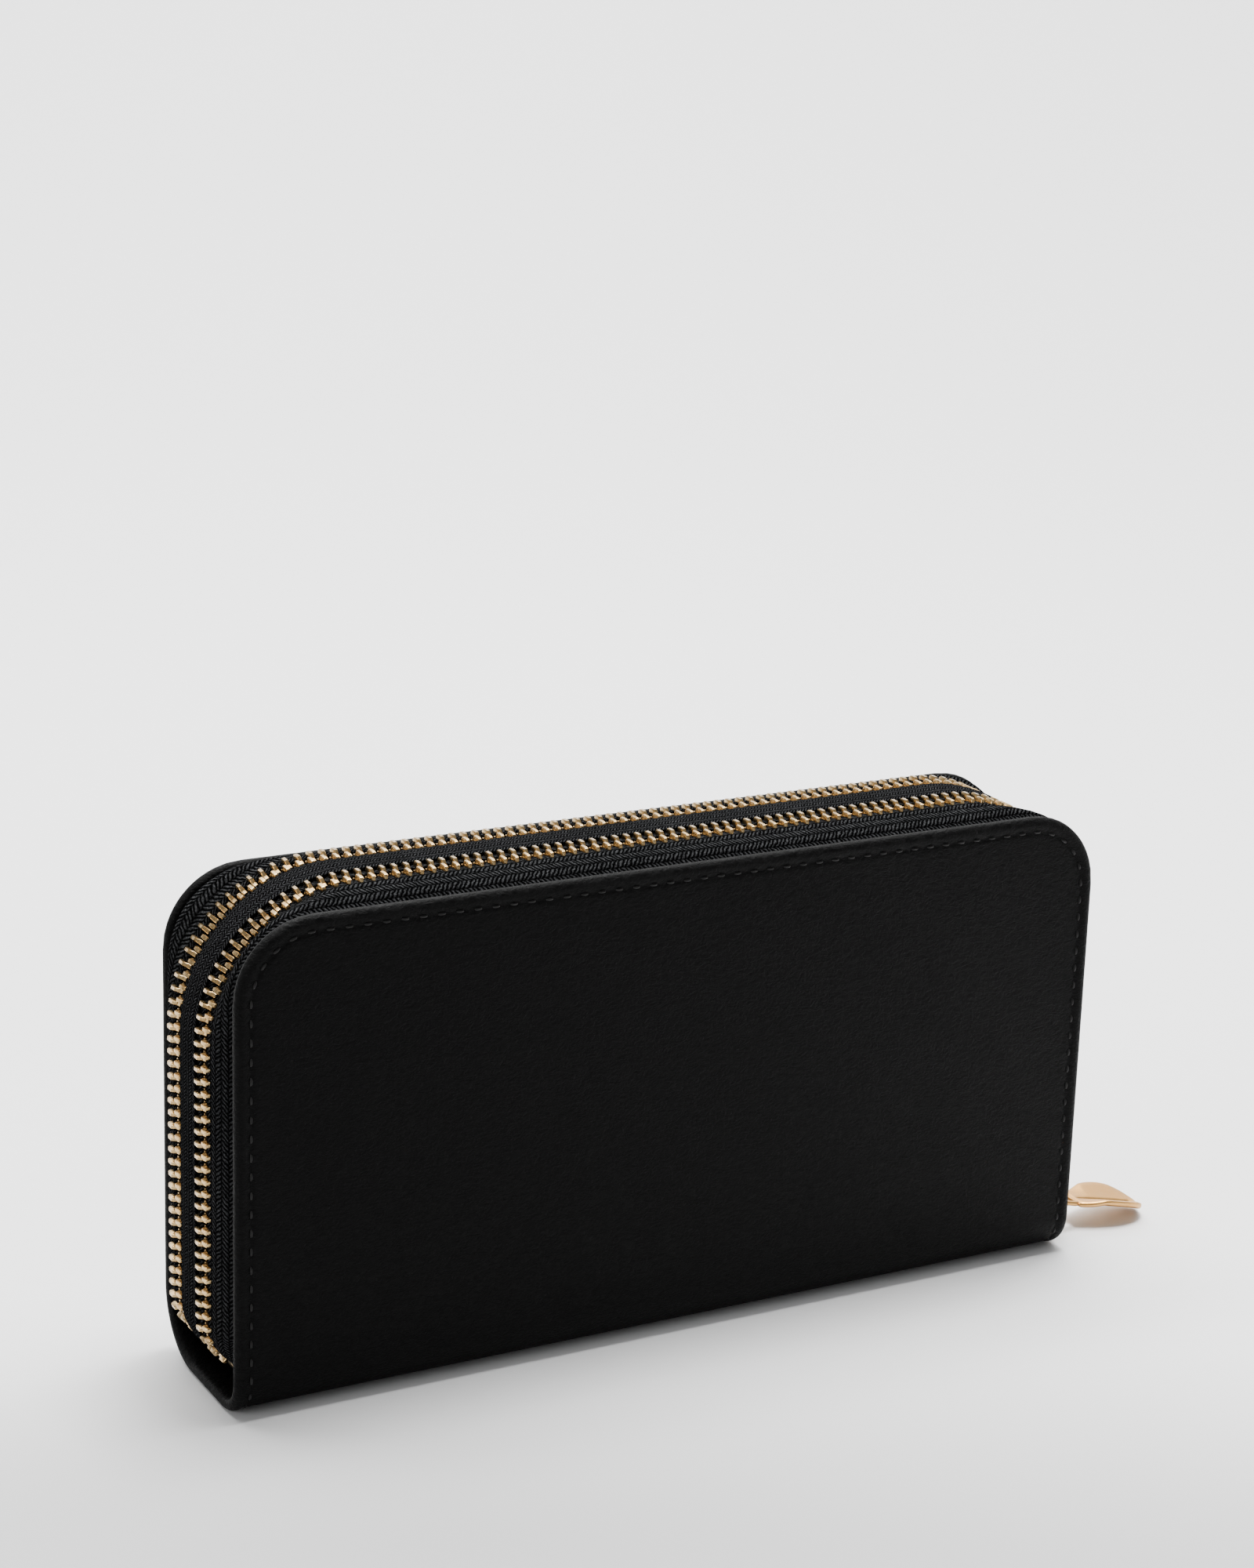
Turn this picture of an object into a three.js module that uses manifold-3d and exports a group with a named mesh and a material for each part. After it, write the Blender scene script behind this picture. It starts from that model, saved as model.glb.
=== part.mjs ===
// Double zip around wallet, standing on its spine. Millimetres, +Z up.
// X runs along the wallet and -Y is its front. The origin is on the flat of the spine, where it stands.
// "near" is the zip beside the front cover and "far" the one beside the back cover.
import * as THREE from "three";
import { mergeVertices } from "three/addons/utils/BufferGeometryUtils.js";
import Module from "manifold-3d";

const wasm = await Module();
wasm.setup();

// Overall sizes
const LENGTH = 195; // covers, end to end
const COVER_TOP = 100.6; // top edge of the covers above the table
const DEPTH = 38.2; // outside of one cover to outside of the other
const COVER_R = 16.5; // top corners of the covers
const FRONT_BEND = 8; // outside radius from the spine up into the front cover
const BACK_BEND = 14; // the same at the back
const HINGE_Z = 2.4; // height of the fold line that each cover turns about

// Sheets
const LEATHER = 1.2;
const TURNED_EDGE = 1; // leather folded back over the edge of the board
const TURN_WIDTH = 7; // how far the folded leather reaches in from the edge
const BOARD = 0.7;
const BOARD_PLAY = 0.15; // clear on each face of a board
const LINING = 0.4;
const GAP = 0.3; // between pieces that touch on the real wallet

// Zips
const ZIP_Y = 7; // centre of each zip from the middle of the wallet
const CHAIN_SIDE = 1.2; // tape plane beyond the covers at the ends
const CHAIN_TOP = 1.8; // tape plane above the covers at the top
const CHAIN_R = 30; // radius of the zips round the top corners
const ROW_SPLIT = 1.2; // clear between the two rows of a zip
const ROW_WIDTH = 2.4;
const ROW_THICK = 2.3;
const TAPE = 0.5;
const CURL = 8.8; // radius in which the zips turn in at the foot of the left end
const CURL_Z = 16.2; // height where that turn starts
const RIGHT_FOOT_Z = 3.9; // at the right end the zips run straight down to here
const FLANGE = 8.5; // how far the inner tapes reach down the divider
const TAPE_TURN = 1.2; // depth below the chain where an inner tape turns from the divider towards its teeth
const BAND_WIDTH = 6.8; // middle band between the zips
const BAND_OFFSET = 0.65; // middle band beyond the tape plane at its edges
const BAND_CROWN = 0.3; // how much further it stands at its middle
const SEWN_FOOT = 1.5; // the outer tapes' sewn edge ends this much above the front bend's centre
const STOP = 1.9; // length of a zip stop
const STOP_WIDTH = 1.8;
const BOTTOM_STOP_HALF = 1.9;

// Slider and pull
const SLIDER_LENGTH = 12;
const SLIDER_WIDTH = 9.8;
const SLIDER_PLATE = 1.05;
const SLIDER_REST = SLIDER_LENGTH / 2 + RIGHT_FOOT_Z + GAP; // centre height of the closed near slider
const FAR_SLIDER_UP = 28.5; // how much higher the far slider is parked
const BRIDGE_WINDOW = 2;
const BRIDGE_THICK = 1;
const BRIDGE_WIDTH = 2.4;
const BRIDGE_FOOT = 0.4; // bridge in from the lower end of the slider
const BRIDGE_HEAD = 1.4; // and from its upper end
const PIVOT_IN = 2.3; // pull pivot from the lower end of the slider
const POST_IN = 0.3; // post between the rows, from the lower end of the slider
const POST_LENGTH = 2.3;
const PULL_LENGTH = 24;
const PULL_WIDTH = 13;
const PULL_THICK = 1.6;
const PULL_EYE = 4.6; // length of the eye below the pivot
const PULL_EYE_PLAY = 0.5; // eye wider than the bridge on each side
const PULL_ARM = 1.4; // metal at each side of the eye
const PULL_BAR = 0.6; // half the bar that turns in the bridge

// Inside
const DIVIDER_BOARD = 1;
const DIVIDER_IN = 3.5; // edge of the divider's board inside the chain
const DIVIDER_CLIP = 5; // its clipped lower corners
const FOOT_CLEAR = 4; // the divider keeps this clear of the zips' turned-in feet
const POCKET_FOOT = 12; // lower edge of the pockets on the divider
const COIN_TOP = 88;
const COIN_PANEL_IN = 4; // edge of a coin pocket panel from the middle of its zip
const COIN_TAPE_WIDTH = 9; // from the middle of its zip
const CARD_SLOT = 0.8;
const CARD_STEP = 12; // each card slot stands this much lower than the one behind it
const CARD_HALF = 84;
const FRONT_SLOTS = 4;
const BACK_SLOTS = 3;
const SLOT_TOP = 86;
const GUSSET_X = 91;
const GUSSET_FOLD = 19;
const GUSSET_SHEET = 0.4;
const GUSSET_FOOT = 20;
const GUSSET_TOP = 80;
const COIN_HALF = GUSSET_X - GUSSET_FOLD - 4;
const COIN_ROW_IN = 4; // its rows end this much inside the pocket
const COIN_ZIP_Z = 72;
const COIN_ZIP_Y = 3.6;
const COIN_SCALE = 0.7; // the coin pocket has a smaller zip of the same pattern

// Depths of the layers, from the outside of a cover inwards
const RIM = LEATHER + TURNED_EDGE;
const BOARD_IN = LEATHER + BOARD_PLAY;
const LINING_IN = RIM + GAP;
const SLOTS_IN = LINING_IN + LINING + GAP + 0.1;
const FACE = DEPTH / 2;
const HALF = LENGTH / 2;
const CHAIN_X = HALF + CHAIN_SIDE;
const ROW_IN = ROW_SPLIT / 2;
const ROW_OUT = ROW_IN + ROW_WIDTH;
const ROW_END_Z = SLIDER_REST - 1; // lower end of the rows at the right end
const CROWN = ROW_THICK / 2 + GAP + SLIDER_PLATE; // outside of a slider plate from the tape plane
const PIVOT_OUT = CROWN + BRIDGE_WINDOW / 2 + 0.05;
const PIVOT_Z = SLIDER_REST - SLIDER_LENGTH / 2 + PIVOT_IN;
// Angle of the pull below level when its tip rests on the table
const PULL_DROOP = Math.asin((PIVOT_Z - PULL_THICK / 2 - GAP / 2) / PULL_LENGTH);

const black = (roughness) => new THREE.MeshStandardMaterial({ color: 0x17171a, roughness, metalness: 0 });
const leather = black(0.5);
const innerLeather = new THREE.MeshStandardMaterial({ color: 0x1e1e20, roughness: 0.6, metalness: 0 });
const board = new THREE.MeshStandardMaterial({ color: 0x8c7a5e, roughness: 0.9, metalness: 0 });
const lining = new THREE.MeshStandardMaterial({ color: 0x26262a, roughness: 0.85, metalness: 0 });
const tape = black(0.9);
const gold = new THREE.MeshStandardMaterial({ color: 0xd9c08c, roughness: 0.25, metalness: 1 });

const wallet = new THREE.Group();

function add(name, shape, material, parent = wallet) {
  const mesh = new THREE.Mesh(shape instanceof wasm.Manifold ? fromSolid(shape) : shape, material);
  mesh.name = name;
  parent.add(mesh);
  return mesh;
}

// Solids

const ALONG_X = new THREE.Matrix4().makeBasis(
  new THREE.Vector3(0, 1, 0),
  new THREE.Vector3(0, 0, 1),
  new THREE.Vector3(1, 0, 0),
);
const ALONG_Y = new THREE.Matrix4().makeBasis(
  new THREE.Vector3(1, 0, 0),
  new THREE.Vector3(0, 0, 1),
  new THREE.Vector3(0, -1, 0),
);

function extrude(shape, depth, arcSteps = 5) {
  return new THREE.ExtrudeGeometry(shape, { depth, bevelEnabled: false, curveSegments: arcSteps });
}

// A shape drawn in Y and Z, extruded from x0 to x1.
function extrudeX(shape, x0, x1, arcSteps) {
  return extrude(shape, x1 - x0, arcSteps).applyMatrix4(ALONG_X).translate(x0, 0, 0);
}

// A shape drawn in X and Z, extruded between the two values of y.
function extrudeY(shape, ya, yb, arcSteps) {
  return extrude(shape, Math.abs(yb - ya), arcSteps).applyMatrix4(ALONG_Y).translate(0, Math.max(ya, yb), 0);
}

function box(x0, x1, y0, y1, z0, z1) {
  const size = [Math.abs(x1 - x0), Math.abs(y1 - y0), Math.abs(z1 - z0)];
  return new THREE.BoxGeometry(...size).translate((x0 + x1) / 2, (y0 + y1) / 2, (z0 + z1) / 2);
}

function toSolid(geometry) {
  if (geometry instanceof wasm.Manifold) return geometry;
  const bare = geometry.clone();
  bare.deleteAttribute("normal");
  bare.deleteAttribute("uv");
  const merged = mergeVertices(bare, 1e-4);
  const vertProperties = merged.attributes.position.array;
  return new wasm.Manifold(
    new wasm.Mesh({ numProp: 3, vertProperties, triVerts: new Uint32Array(merged.index.array) }),
  );
}

function fromSolid(solid) {
  const { vertProperties, triVerts } = solid.getMesh();
  const geometry = new THREE.BufferGeometry();
  geometry.setAttribute("position", new THREE.BufferAttribute(vertProperties, 3));
  geometry.setIndex(new THREE.BufferAttribute(triVerts, 1));
  geometry.computeVertexNormals();
  return geometry;
}

const joined = (...parts) => parts.map(toSolid).reduce((a, b) => a.add(b));
const common = (a, b) => toSolid(a).intersect(toSolid(b));
const cut = (a, b) => toSolid(a).subtract(toSolid(b));

// A sheet between two grids of points: front[i][k] and back[i][k] are its two faces.
function sheetSolid(front, back) {
  const rows = front.length;
  const columns = front[0].length;
  const positions = [...front.flat(), ...back.flat()].flat();
  const f = (i, k) => i * columns + k;
  const b = (i, k) => rows * columns + i * columns + k;
  const index = [];
  const quad = (p, q, r, s) => index.push(p, q, r, p, r, s);
  for (let i = 0; i < rows - 1; i++) {
    for (let k = 0; k < columns - 1; k++) {
      quad(f(i, k), f(i + 1, k), f(i + 1, k + 1), f(i, k + 1));
      quad(b(i, k), b(i, k + 1), b(i + 1, k + 1), b(i + 1, k));
    }
    quad(f(i, 0), b(i, 0), b(i + 1, 0), f(i + 1, 0));
    quad(f(i, columns - 1), f(i + 1, columns - 1), b(i + 1, columns - 1), b(i, columns - 1));
  }
  for (let k = 0; k < columns - 1; k++) {
    quad(f(0, k), f(0, k + 1), b(0, k + 1), b(0, k));
    quad(f(rows - 1, k), b(rows - 1, k), b(rows - 1, k + 1), f(rows - 1, k + 1));
  }
  const geometry = new THREE.BufferGeometry();
  geometry.setAttribute("position", new THREE.Float32BufferAttribute(positions, 3));
  geometry.setIndex(signedVolume(positions, index) < 0 ? turned(index) : index);
  geometry.computeVertexNormals();
  return geometry;
}

// Six times the volume inside a closed surface, negative if its faces point inwards.
function signedVolume(positions, index) {
  const at = (i) => new THREE.Vector3().fromArray(positions, 3 * i);
  let volume = 0;
  for (let i = 0; i < index.length; i += 3) {
    volume += at(index[i]).dot(at(index[i + 1]).cross(at(index[i + 2])));
  }
  return volume;
}

function turned(index) {
  return index.map((v, i) => (i % 3 === 1 ? index[i + 1] : i % 3 === 2 ? index[i - 1] : v));
}

// Covers and spine: side is -1 at the front and 1 at the back.

const bendOf = (side) => (side < 0 ? FRONT_BEND : BACK_BEND);
const bendY = (side) => side * (FACE - bendOf(side));
const hingeAngle = (side) => Math.asin((bendOf(side) - HINGE_Z) / bendOf(side));

// The edge of a cover, drawn in X and Z, moved in by inset and cut off level at foot.
function coverOutline(inset, foot) {
  const x = HALF - inset;
  const top = COVER_TOP - inset;
  const r = Math.max(COVER_R - inset, 1);
  const shape = new THREE.Shape();
  shape.moveTo(-x, foot);
  shape.lineTo(x, foot);
  shape.lineTo(x, top - r);
  shape.absarc(x - r, top - r, r, 0, Math.PI / 2, false);
  shape.absarc(-x + r, top - r, r, Math.PI / 2, Math.PI, false);
  shape.closePath();
  return shape;
}

// A layer of a cover, drawn in Y and Z, from depth a to depth b below the outside and down to the fold line.
function coverLayer(side, a, b) {
  const bend = bendOf(side);
  const split = hingeAngle(side) - GAP / 2 / (bend - b);
  const cy = bendY(side);
  const out = side < 0 ? Math.PI : 0;
  const end = side < 0 ? Math.PI + split : -split;
  const shape = new THREE.Shape();
  shape.moveTo(side * (FACE - a), COVER_TOP + 1);
  shape.lineTo(side * (FACE - a), bend);
  shape.absarc(cy, bend, bend - a, out, end, side > 0);
  shape.absarc(cy, bend, bend - b, end, out, side < 0);
  shape.lineTo(side * (FACE - b), COVER_TOP + 1);
  shape.closePath();
  return shape;
}

// The same layer of the spine, from fold line to fold line.
function spineLayer(a, b) {
  const front = Math.PI + hingeAngle(-1) + GAP / 2 / (FRONT_BEND - b);
  const back = -hingeAngle(1) - GAP / 2 / (BACK_BEND - b);
  const down = 1.5 * Math.PI;
  const shape = new THREE.Shape();
  shape.absarc(bendY(-1), FRONT_BEND, FRONT_BEND - a, front, down, false);
  shape.absarc(bendY(1), BACK_BEND, BACK_BEND - a, down, back + 2 * Math.PI, false);
  shape.absarc(bendY(1), BACK_BEND, BACK_BEND - b, back + 2 * Math.PI, down, true);
  shape.absarc(bendY(-1), FRONT_BEND, FRONT_BEND - b, down, front, true);
  shape.closePath();
  return shape;
}

function coverSheet(side, a, b, inset) {
  const foot = -1;
  return common(
    extrudeX(coverLayer(side, a, b), -HALF, HALF, 4),
    extrudeY(coverOutline(inset, foot), side * (FACE + 1), 0, 4),
  );
}

function cover(side, name) {
  const bend = bendOf(side);
  const recess = coverSheet(side, LEATHER, RIM + 1, TURN_WIDTH);
  add(name + "_cover_leather", cut(coverSheet(side, 0, RIM, 0), recess), leather);
  const boardOut = side * (FACE - BOARD_IN);
  const boardOutline = coverOutline(TURN_WIDTH + GAP, bend + 1);
  add(name + "_cover_board", extrudeY(boardOutline, boardOut, boardOut - side * BOARD, 4), board);
  const liningInset = TURN_WIDTH + 2 * GAP;
  add(name + "_cover_lining", coverSheet(side, LINING_IN, LINING_IN + LINING, liningInset), lining);
}

function cardSlots(side, name, count) {
  const foot = bendOf(side) + 3;
  for (let i = 0; i < count; i++) {
    const depth = SLOTS_IN + i * (CARD_SLOT + GAP);
    const near = side * (FACE - depth);
    const panel = box(-CARD_HALF, CARD_HALF, near, near - side * CARD_SLOT, foot, SLOT_TOP - i * CARD_STEP);
    add(`${name}_card_slot_${i + 1}`, panel, innerLeather);
  }
}

function spine() {
  const whole = extrudeX(spineLayer(0, RIM), -HALF, HALF, 4);
  const recess = extrudeX(spineLayer(LEATHER, RIM + 1), -HALF + TURN_WIDTH, HALF - TURN_WIDTH, 4);
  add("spine_leather", cut(whole, recess), leather);
  const boardX = HALF - TURN_WIDTH - GAP;
  const y = [bendY(-1), bendY(1)];
  add("spine_board", box(-boardX, boardX, ...y, BOARD_IN, BOARD_IN + BOARD), board);
  const x = HALF - TURN_WIDTH - 2 * GAP;
  add("spine_lining", extrudeX(spineLayer(LINING_IN, LINING_IN + LINING), -x, x, 4), lining);
}

// Zips: everything follows one rail, up the left end, round the top and down the right end.

const TIGHTEST = 0.6;
const CORNER_STEPS = 8;

// Where a point of a section lies at a station of the rail.
// A point has its distance beyond the covers at the ends (side) and top (top), its corner radius (r),
// and how far it follows the zip as that turns in at the foot of the left end (curl, 0 to 1).
function railPoint(point, station) {
  const x = HALF + point.side;
  const angle = (station.turn * Math.PI) / 2;
  if (station.at === "corner") {
    const cx = x - point.r;
    const cz = COVER_TOP + point.top - point.r;
    return [station.end * (cx + point.r * Math.cos(angle)), cz + point.r * Math.sin(angle)];
  }
  if (station.at === "straight") return [station.end * x, station.z];
  const r = Math.max(CURL + point.side - CHAIN_SIDE, TIGHTEST);
  const curled = [CHAIN_X - CURL + r * Math.cos(angle), CURL_Z - r * Math.sin(angle)];
  const hanging = [x, CURL_Z + station.turn * (FRONT_BEND + SEWN_FOOT - CURL_Z)];
  const mix = (i) => curled[i] * point.curl + hanging[i] * (1 - point.curl);
  return [station.end * mix(0), mix(1)];
}

function corner(end) {
  return Array.from({ length: CORNER_STEPS + 1 }, (_, i) => ({ at: "corner", end, turn: i / CORNER_STEPS }));
}

const straight = (end, z) => ({ at: "straight", end, z });
const CURLED = [1, 0.75, 0.5, 0.25, 0].map((turn) => ({ at: "curl", end: -1, turn }));
const LEFT_FOOT = [...CURLED, straight(-1, CURL_Z + 6)];
const RIGHT_FOOT_STEPS = [RIGHT_FOOT_Z, 0.5 * BACK_BEND, 0.75 * BACK_BEND, BACK_BEND + 3];
const RIGHT_FOOT = RIGHT_FOOT_STEPS.map((z) => straight(1, z));
const TAPE_RAIL = [...LEFT_FOOT, ...corner(-1), ...corner(1).reverse(), ...RIGHT_FOOT.reverse()];
const ROW_RAIL = [...LEFT_FOOT, ...corner(-1), ...corner(1).reverse(), straight(1, ROW_END_Z)];

// Half the clear width inside the covers at height z, at a depth below their outside.
function clearY(side, z, depth) {
  const bend = bendOf(side);
  if (z >= bend) return FACE - depth;
  const r = bend - depth;
  return FACE - bend + Math.sqrt(Math.max(r * r - (bend - z) ** 2, 0));
}

// A band of the given thickness whose section runs through points, each with its y besides the values above.
function railBand(side, points, thickness, rail) {
  const normals = points.map((_, k) => {
    const before = points[Math.max(k - 1, 0)];
    const after = points[Math.min(k + 1, points.length - 1)];
    return new THREE.Vector2(after.y - before.y, before.side - after.side).normalize();
  });
  const face = (sign) =>
    rail.map((station) =>
      points.map((p, k) => {
        const out = sign * (thickness / 2) * normals[k].x;
        const moved = { side: p.side + out, top: p.top + out, r: p.r + out, curl: p.curl };
        const [x, z] = railPoint(moved, station);
        const y = p.y + sign * (thickness / 2) * normals[k].y;
        const widest = FACE - LINING_IN;
        const limit = clearY(side, z, LINING_IN) - Math.min(widest - y, TAPE);
        return [x, side * Math.min(y, limit), z];
      }),
    );
  return sheetSolid(face(1), face(-1));
}

// A point of a section that keeps a fixed distance from the chain all the way round.
const beside = (offset, y) => ({
  side: CHAIN_SIDE + offset,
  top: CHAIN_TOP + offset,
  r: CHAIN_R + offset,
  curl: 1,
  y,
});

function outerTapeSection() {
  const flangeY = FACE - LINING_IN - TAPE / 2;
  const bead = ZIP_Y + ROW_OUT + GAP;
  const along = (share) => bead + (flangeY - bead) * share;
  return [
    { side: -TURN_WIDTH, top: -TURN_WIDTH, r: COVER_R - TURN_WIDTH, curl: 0, y: flangeY },
    { side: -1, top: -1, r: COVER_R - 1, curl: 0, y: flangeY },
    { side: 0.25 * CHAIN_SIDE, top: 0.3 * CHAIN_TOP, r: COVER_R + 2.5, curl: 0.3, y: along(0.7) },
    { side: 0.75 * CHAIN_SIDE, top: 0.8 * CHAIN_TOP, r: COVER_R + 8.5, curl: 0.7, y: along(0.35) },
    { side: CHAIN_SIDE, top: CHAIN_TOP, r: CHAIN_R, curl: 1, y: bead },
  ];
}

function innerTapeSection() {
  const flangeY = DIVIDER_BOARD / 2 + GAP + TAPE / 2;
  const bead = ZIP_Y - ROW_OUT - GAP;
  const between = (flangeY + bead) / 2;
  const turn = [beside(-TAPE_TURN, flangeY), beside(-0.2 * TAPE_TURN, between)];
  return [beside(-FLANGE, flangeY), ...turn, beside(0, bead)];
}

function zip(side, name) {
  const outerFace = (y0, y1) => [beside(0, y0), beside(0, y1)];
  add(name + "_zip_outer_tape", railBand(side, outerTapeSection(), TAPE, TAPE_RAIL), tape);
  add(name + "_zip_inner_tape", railBand(side, innerTapeSection(), TAPE, TAPE_RAIL), tape);
  const outerRow = outerFace(ZIP_Y + ROW_IN, ZIP_Y + ROW_OUT);
  const innerRow = outerFace(ZIP_Y - ROW_OUT, ZIP_Y - ROW_IN);
  add(name + "_zip_outer_teeth", railBand(side, outerRow, ROW_THICK, ROW_RAIL), gold);
  add(name + "_zip_inner_teeth", railBand(side, innerRow, ROW_THICK, ROW_RAIL), gold);
  const half = ROW_THICK / 2;
  const stopTop = ROW_END_Z - GAP;
  const stopX = [CHAIN_X - half, CHAIN_X + half];
  const stop = (y0, y1) => box(...stopX, side * y0, side * y1, stopTop - STOP, stopTop);
  add(name + "_zip_outer_stop", stop(ZIP_Y + ROW_IN, ZIP_Y + ROW_IN + STOP_WIDTH), gold);
  add(name + "_zip_inner_stop", stop(ZIP_Y - ROW_IN - STOP_WIDTH, ZIP_Y - ROW_IN), gold);
  const footX = -(CHAIN_X - CURL) + GAP + 0.2;
  const footZ = CURL_Z - CURL;
  const footY = [-1, 1].map((k) => side * (ZIP_Y + k * BOTTOM_STOP_HALF));
  const foot = [footX, footX + STOP, ...footY, footZ - half, footZ + half];
  add(name + "_zip_bottom_stop", box(...foot), gold);
}

function middleBand() {
  const points = [-1, -0.5, 0, 0.5, 1].map((across) => {
    const offset = BAND_OFFSET + BAND_CROWN * Math.cos((across * Math.PI) / 2);
    return beside(offset, (across * BAND_WIDTH) / 2);
  });
  add("middle_band", railBand(1, points, TAPE, TAPE_RAIL), tape);
}

// Divider between the two compartments, drawn in X and Z at a distance inside the chain.
function dividerOutline(inset, foot) {
  const x = CHAIN_X - inset;
  const top = COVER_TOP + CHAIN_TOP - inset;
  const r = CHAIN_R - inset;
  const notchX = CHAIN_X - CURL - FOOT_CLEAR;
  const notchZ = CURL_Z - CURL + inset;
  const shape = new THREE.Shape();
  shape.moveTo(-notchX, foot);
  shape.lineTo(notchX, foot);
  shape.lineTo(notchX, notchZ);
  shape.lineTo(x - DIVIDER_CLIP, notchZ);
  shape.lineTo(x, notchZ + DIVIDER_CLIP);
  shape.lineTo(x, top - r);
  shape.absarc(x - r, top - r, r, 0, Math.PI / 2, false);
  shape.absarc(-x + r, top - r, r, Math.PI / 2, Math.PI, false);
  shape.lineTo(-x, notchZ + DIVIDER_CLIP);
  shape.lineTo(-x + DIVIDER_CLIP, notchZ);
  shape.lineTo(-notchX, notchZ);
  shape.closePath();
  return shape;
}

const SPINE_INSIDE = LINING_IN + LINING + GAP;

function divider() {
  const half = DIVIDER_BOARD / 2;
  add("divider_board", extrudeY(dividerOutline(DIVIDER_IN, SPINE_INSIDE), -half, half), board);
  const inner = dividerOutline(FLANGE + GAP, SPINE_INSIDE);
  const near = half + GAP;
  add("divider_front_lining", extrudeY(inner, -near - LINING, -near), lining);
  add("divider_back_lining", extrudeY(inner, near, near + LINING), lining);
  const pocket = near + LINING + GAP;
  const pocketTop = SLOT_TOP - 2 * CARD_STEP;
  const panel = box(-CARD_HALF, CARD_HALF, -pocket, -pocket - CARD_SLOT, POCKET_FOOT, pocketTop);
  add("divider_slip_pocket", panel, innerLeather);
}

// An accordion gusset at one end of a compartment: four leaves, folded flat between cards and divider.
function gusset(side, end, name) {
  const outer = FACE - SLOTS_IN - FRONT_SLOTS * (CARD_SLOT + GAP) - GUSSET_SHEET;
  const inner = DIVIDER_BOARD / 2 + 2 * GAP + LINING + CARD_SLOT + 2 * GAP;
  const rise = (outer - inner) / 4;
  const half = GUSSET_SHEET / 2;
  const miter = (half * Math.hypot(GUSSET_FOLD, rise)) / rise;
  const foldX = GUSSET_X - GUSSET_FOLD;
  const y = (i) => side * (outer - i * rise);
  const right = [
    [GUSSET_X, y(0) + side * half],
    [foldX - miter, y(1)],
    [GUSSET_X - miter, y(2)],
    [foldX - miter, y(3)],
    [GUSSET_X, y(4) - side * half],
  ];
  const left = [
    [GUSSET_X, y(4) + side * half],
    [foldX + miter, y(3)],
    [GUSSET_X + miter, y(2)],
    [foldX + miter, y(1)],
    [GUSSET_X, y(0) - side * half],
  ];
  const shape = new THREE.Shape([...right, ...left].map(([px, py]) => new THREE.Vector2(end * px, py)));
  add(name, extrude(shape, GUSSET_TOP - GUSSET_FOOT).translate(0, 0, GUSSET_FOOT), lining);
}

// Coin pocket on the back of the divider, closed by its own straight zip.
function coinPocket() {
  const s = COIN_SCALE;
  const panelIn = COIN_ZIP_Y + TAPE / 2 + GAP;
  const panelOut = panelIn + CARD_SLOT;
  const panel = (z0, z1) => box(-COIN_HALF, COIN_HALF, panelIn, panelOut, z0, z1);
  add("coin_pocket_lower_panel", panel(POCKET_FOOT, COIN_ZIP_Z - COIN_PANEL_IN), innerLeather);
  add("coin_pocket_upper_panel", panel(COIN_ZIP_Z + COIN_PANEL_IN, COIN_TOP), innerLeather);
  for (const [word, up] of [["lower", -1], ["upper", 1]]) {
    const rowNear = COIN_ZIP_Z + up * ROW_IN * s;
    const rowFar = COIN_ZIP_Z + up * ROW_OUT * s;
    const y = COIN_ZIP_Y - (ROW_THICK * s) / 2;
    const x = COIN_HALF - COIN_ROW_IN;
    add(`coin_zip_${word}_teeth`, box(-x, x, y, y + ROW_THICK * s, rowNear, rowFar), gold);
    const tapeY = [COIN_ZIP_Y - TAPE / 2, COIN_ZIP_Y + TAPE / 2];
    const tapeZ = [rowFar + up * GAP, COIN_ZIP_Z + up * COIN_TAPE_WIDTH];
    add(`coin_zip_${word}_tape`, box(-COIN_HALF, COIN_HALF, ...tapeY, ...tapeZ), tape);
  }
}

// Slider and pull, in their own frame: +X out of the zip, Y across it, and the pull's end towards -Z.
// The rows leave a slider sideways when a cover opens, so its plates have no lips along their sides.

function clippedPlate(halfWidth, halfLength, clip) {
  const shape = new THREE.Shape();
  shape.moveTo(-halfWidth, -halfLength + clip);
  shape.lineTo(-halfWidth + clip, -halfLength);
  shape.lineTo(halfWidth - clip, -halfLength);
  shape.lineTo(halfWidth, -halfLength + clip);
  shape.lineTo(halfWidth, halfLength - clip);
  shape.lineTo(halfWidth - clip, halfLength);
  shape.lineTo(-halfWidth + clip, halfLength);
  shape.lineTo(-halfWidth, halfLength - clip);
  shape.closePath();
  return shape;
}

function sliderBody() {
  const plate = clippedPlate(SLIDER_WIDTH / 2, SLIDER_LENGTH / 2, 2);
  const inside = CROWN - SLIDER_PLATE;
  const crown = extrudeX(plate, inside, CROWN);
  const base = extrudeX(plate, -CROWN, -inside);
  const web = ROW_IN - GAP;
  const foot = -SLIDER_LENGTH / 2;
  const reach = inside + SLIDER_PLATE / 2;
  const post = box(-reach, reach, -web, web, foot + POST_IN, foot + POST_IN + POST_LENGTH);
  return joined(crown, base, post);
}

function sliderBridge() {
  const foot = -SLIDER_LENGTH / 2 + BRIDGE_FOOT;
  const top = SLIDER_LENGTH / 2 - BRIDGE_HEAD;
  const low = CROWN + 0.2;
  const under = CROWN + BRIDGE_WINDOW;
  const over = under + BRIDGE_THICK;
  const shape = new THREE.Shape();
  shape.moveTo(low, foot);
  shape.lineTo(over - 0.5, foot);
  shape.lineTo(over, foot + 0.7);
  shape.lineTo(over, top - 0.7);
  shape.lineTo(over - 0.5, top);
  shape.lineTo(low, top);
  shape.lineTo(low, top - BRIDGE_THICK);
  shape.lineTo(under, top - BRIDGE_THICK);
  shape.lineTo(under, foot + BRIDGE_THICK);
  shape.lineTo(low, foot + BRIDGE_THICK);
  shape.closePath();
  return extrudeY(shape, -BRIDGE_WIDTH / 2, BRIDGE_WIDTH / 2);
}

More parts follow.
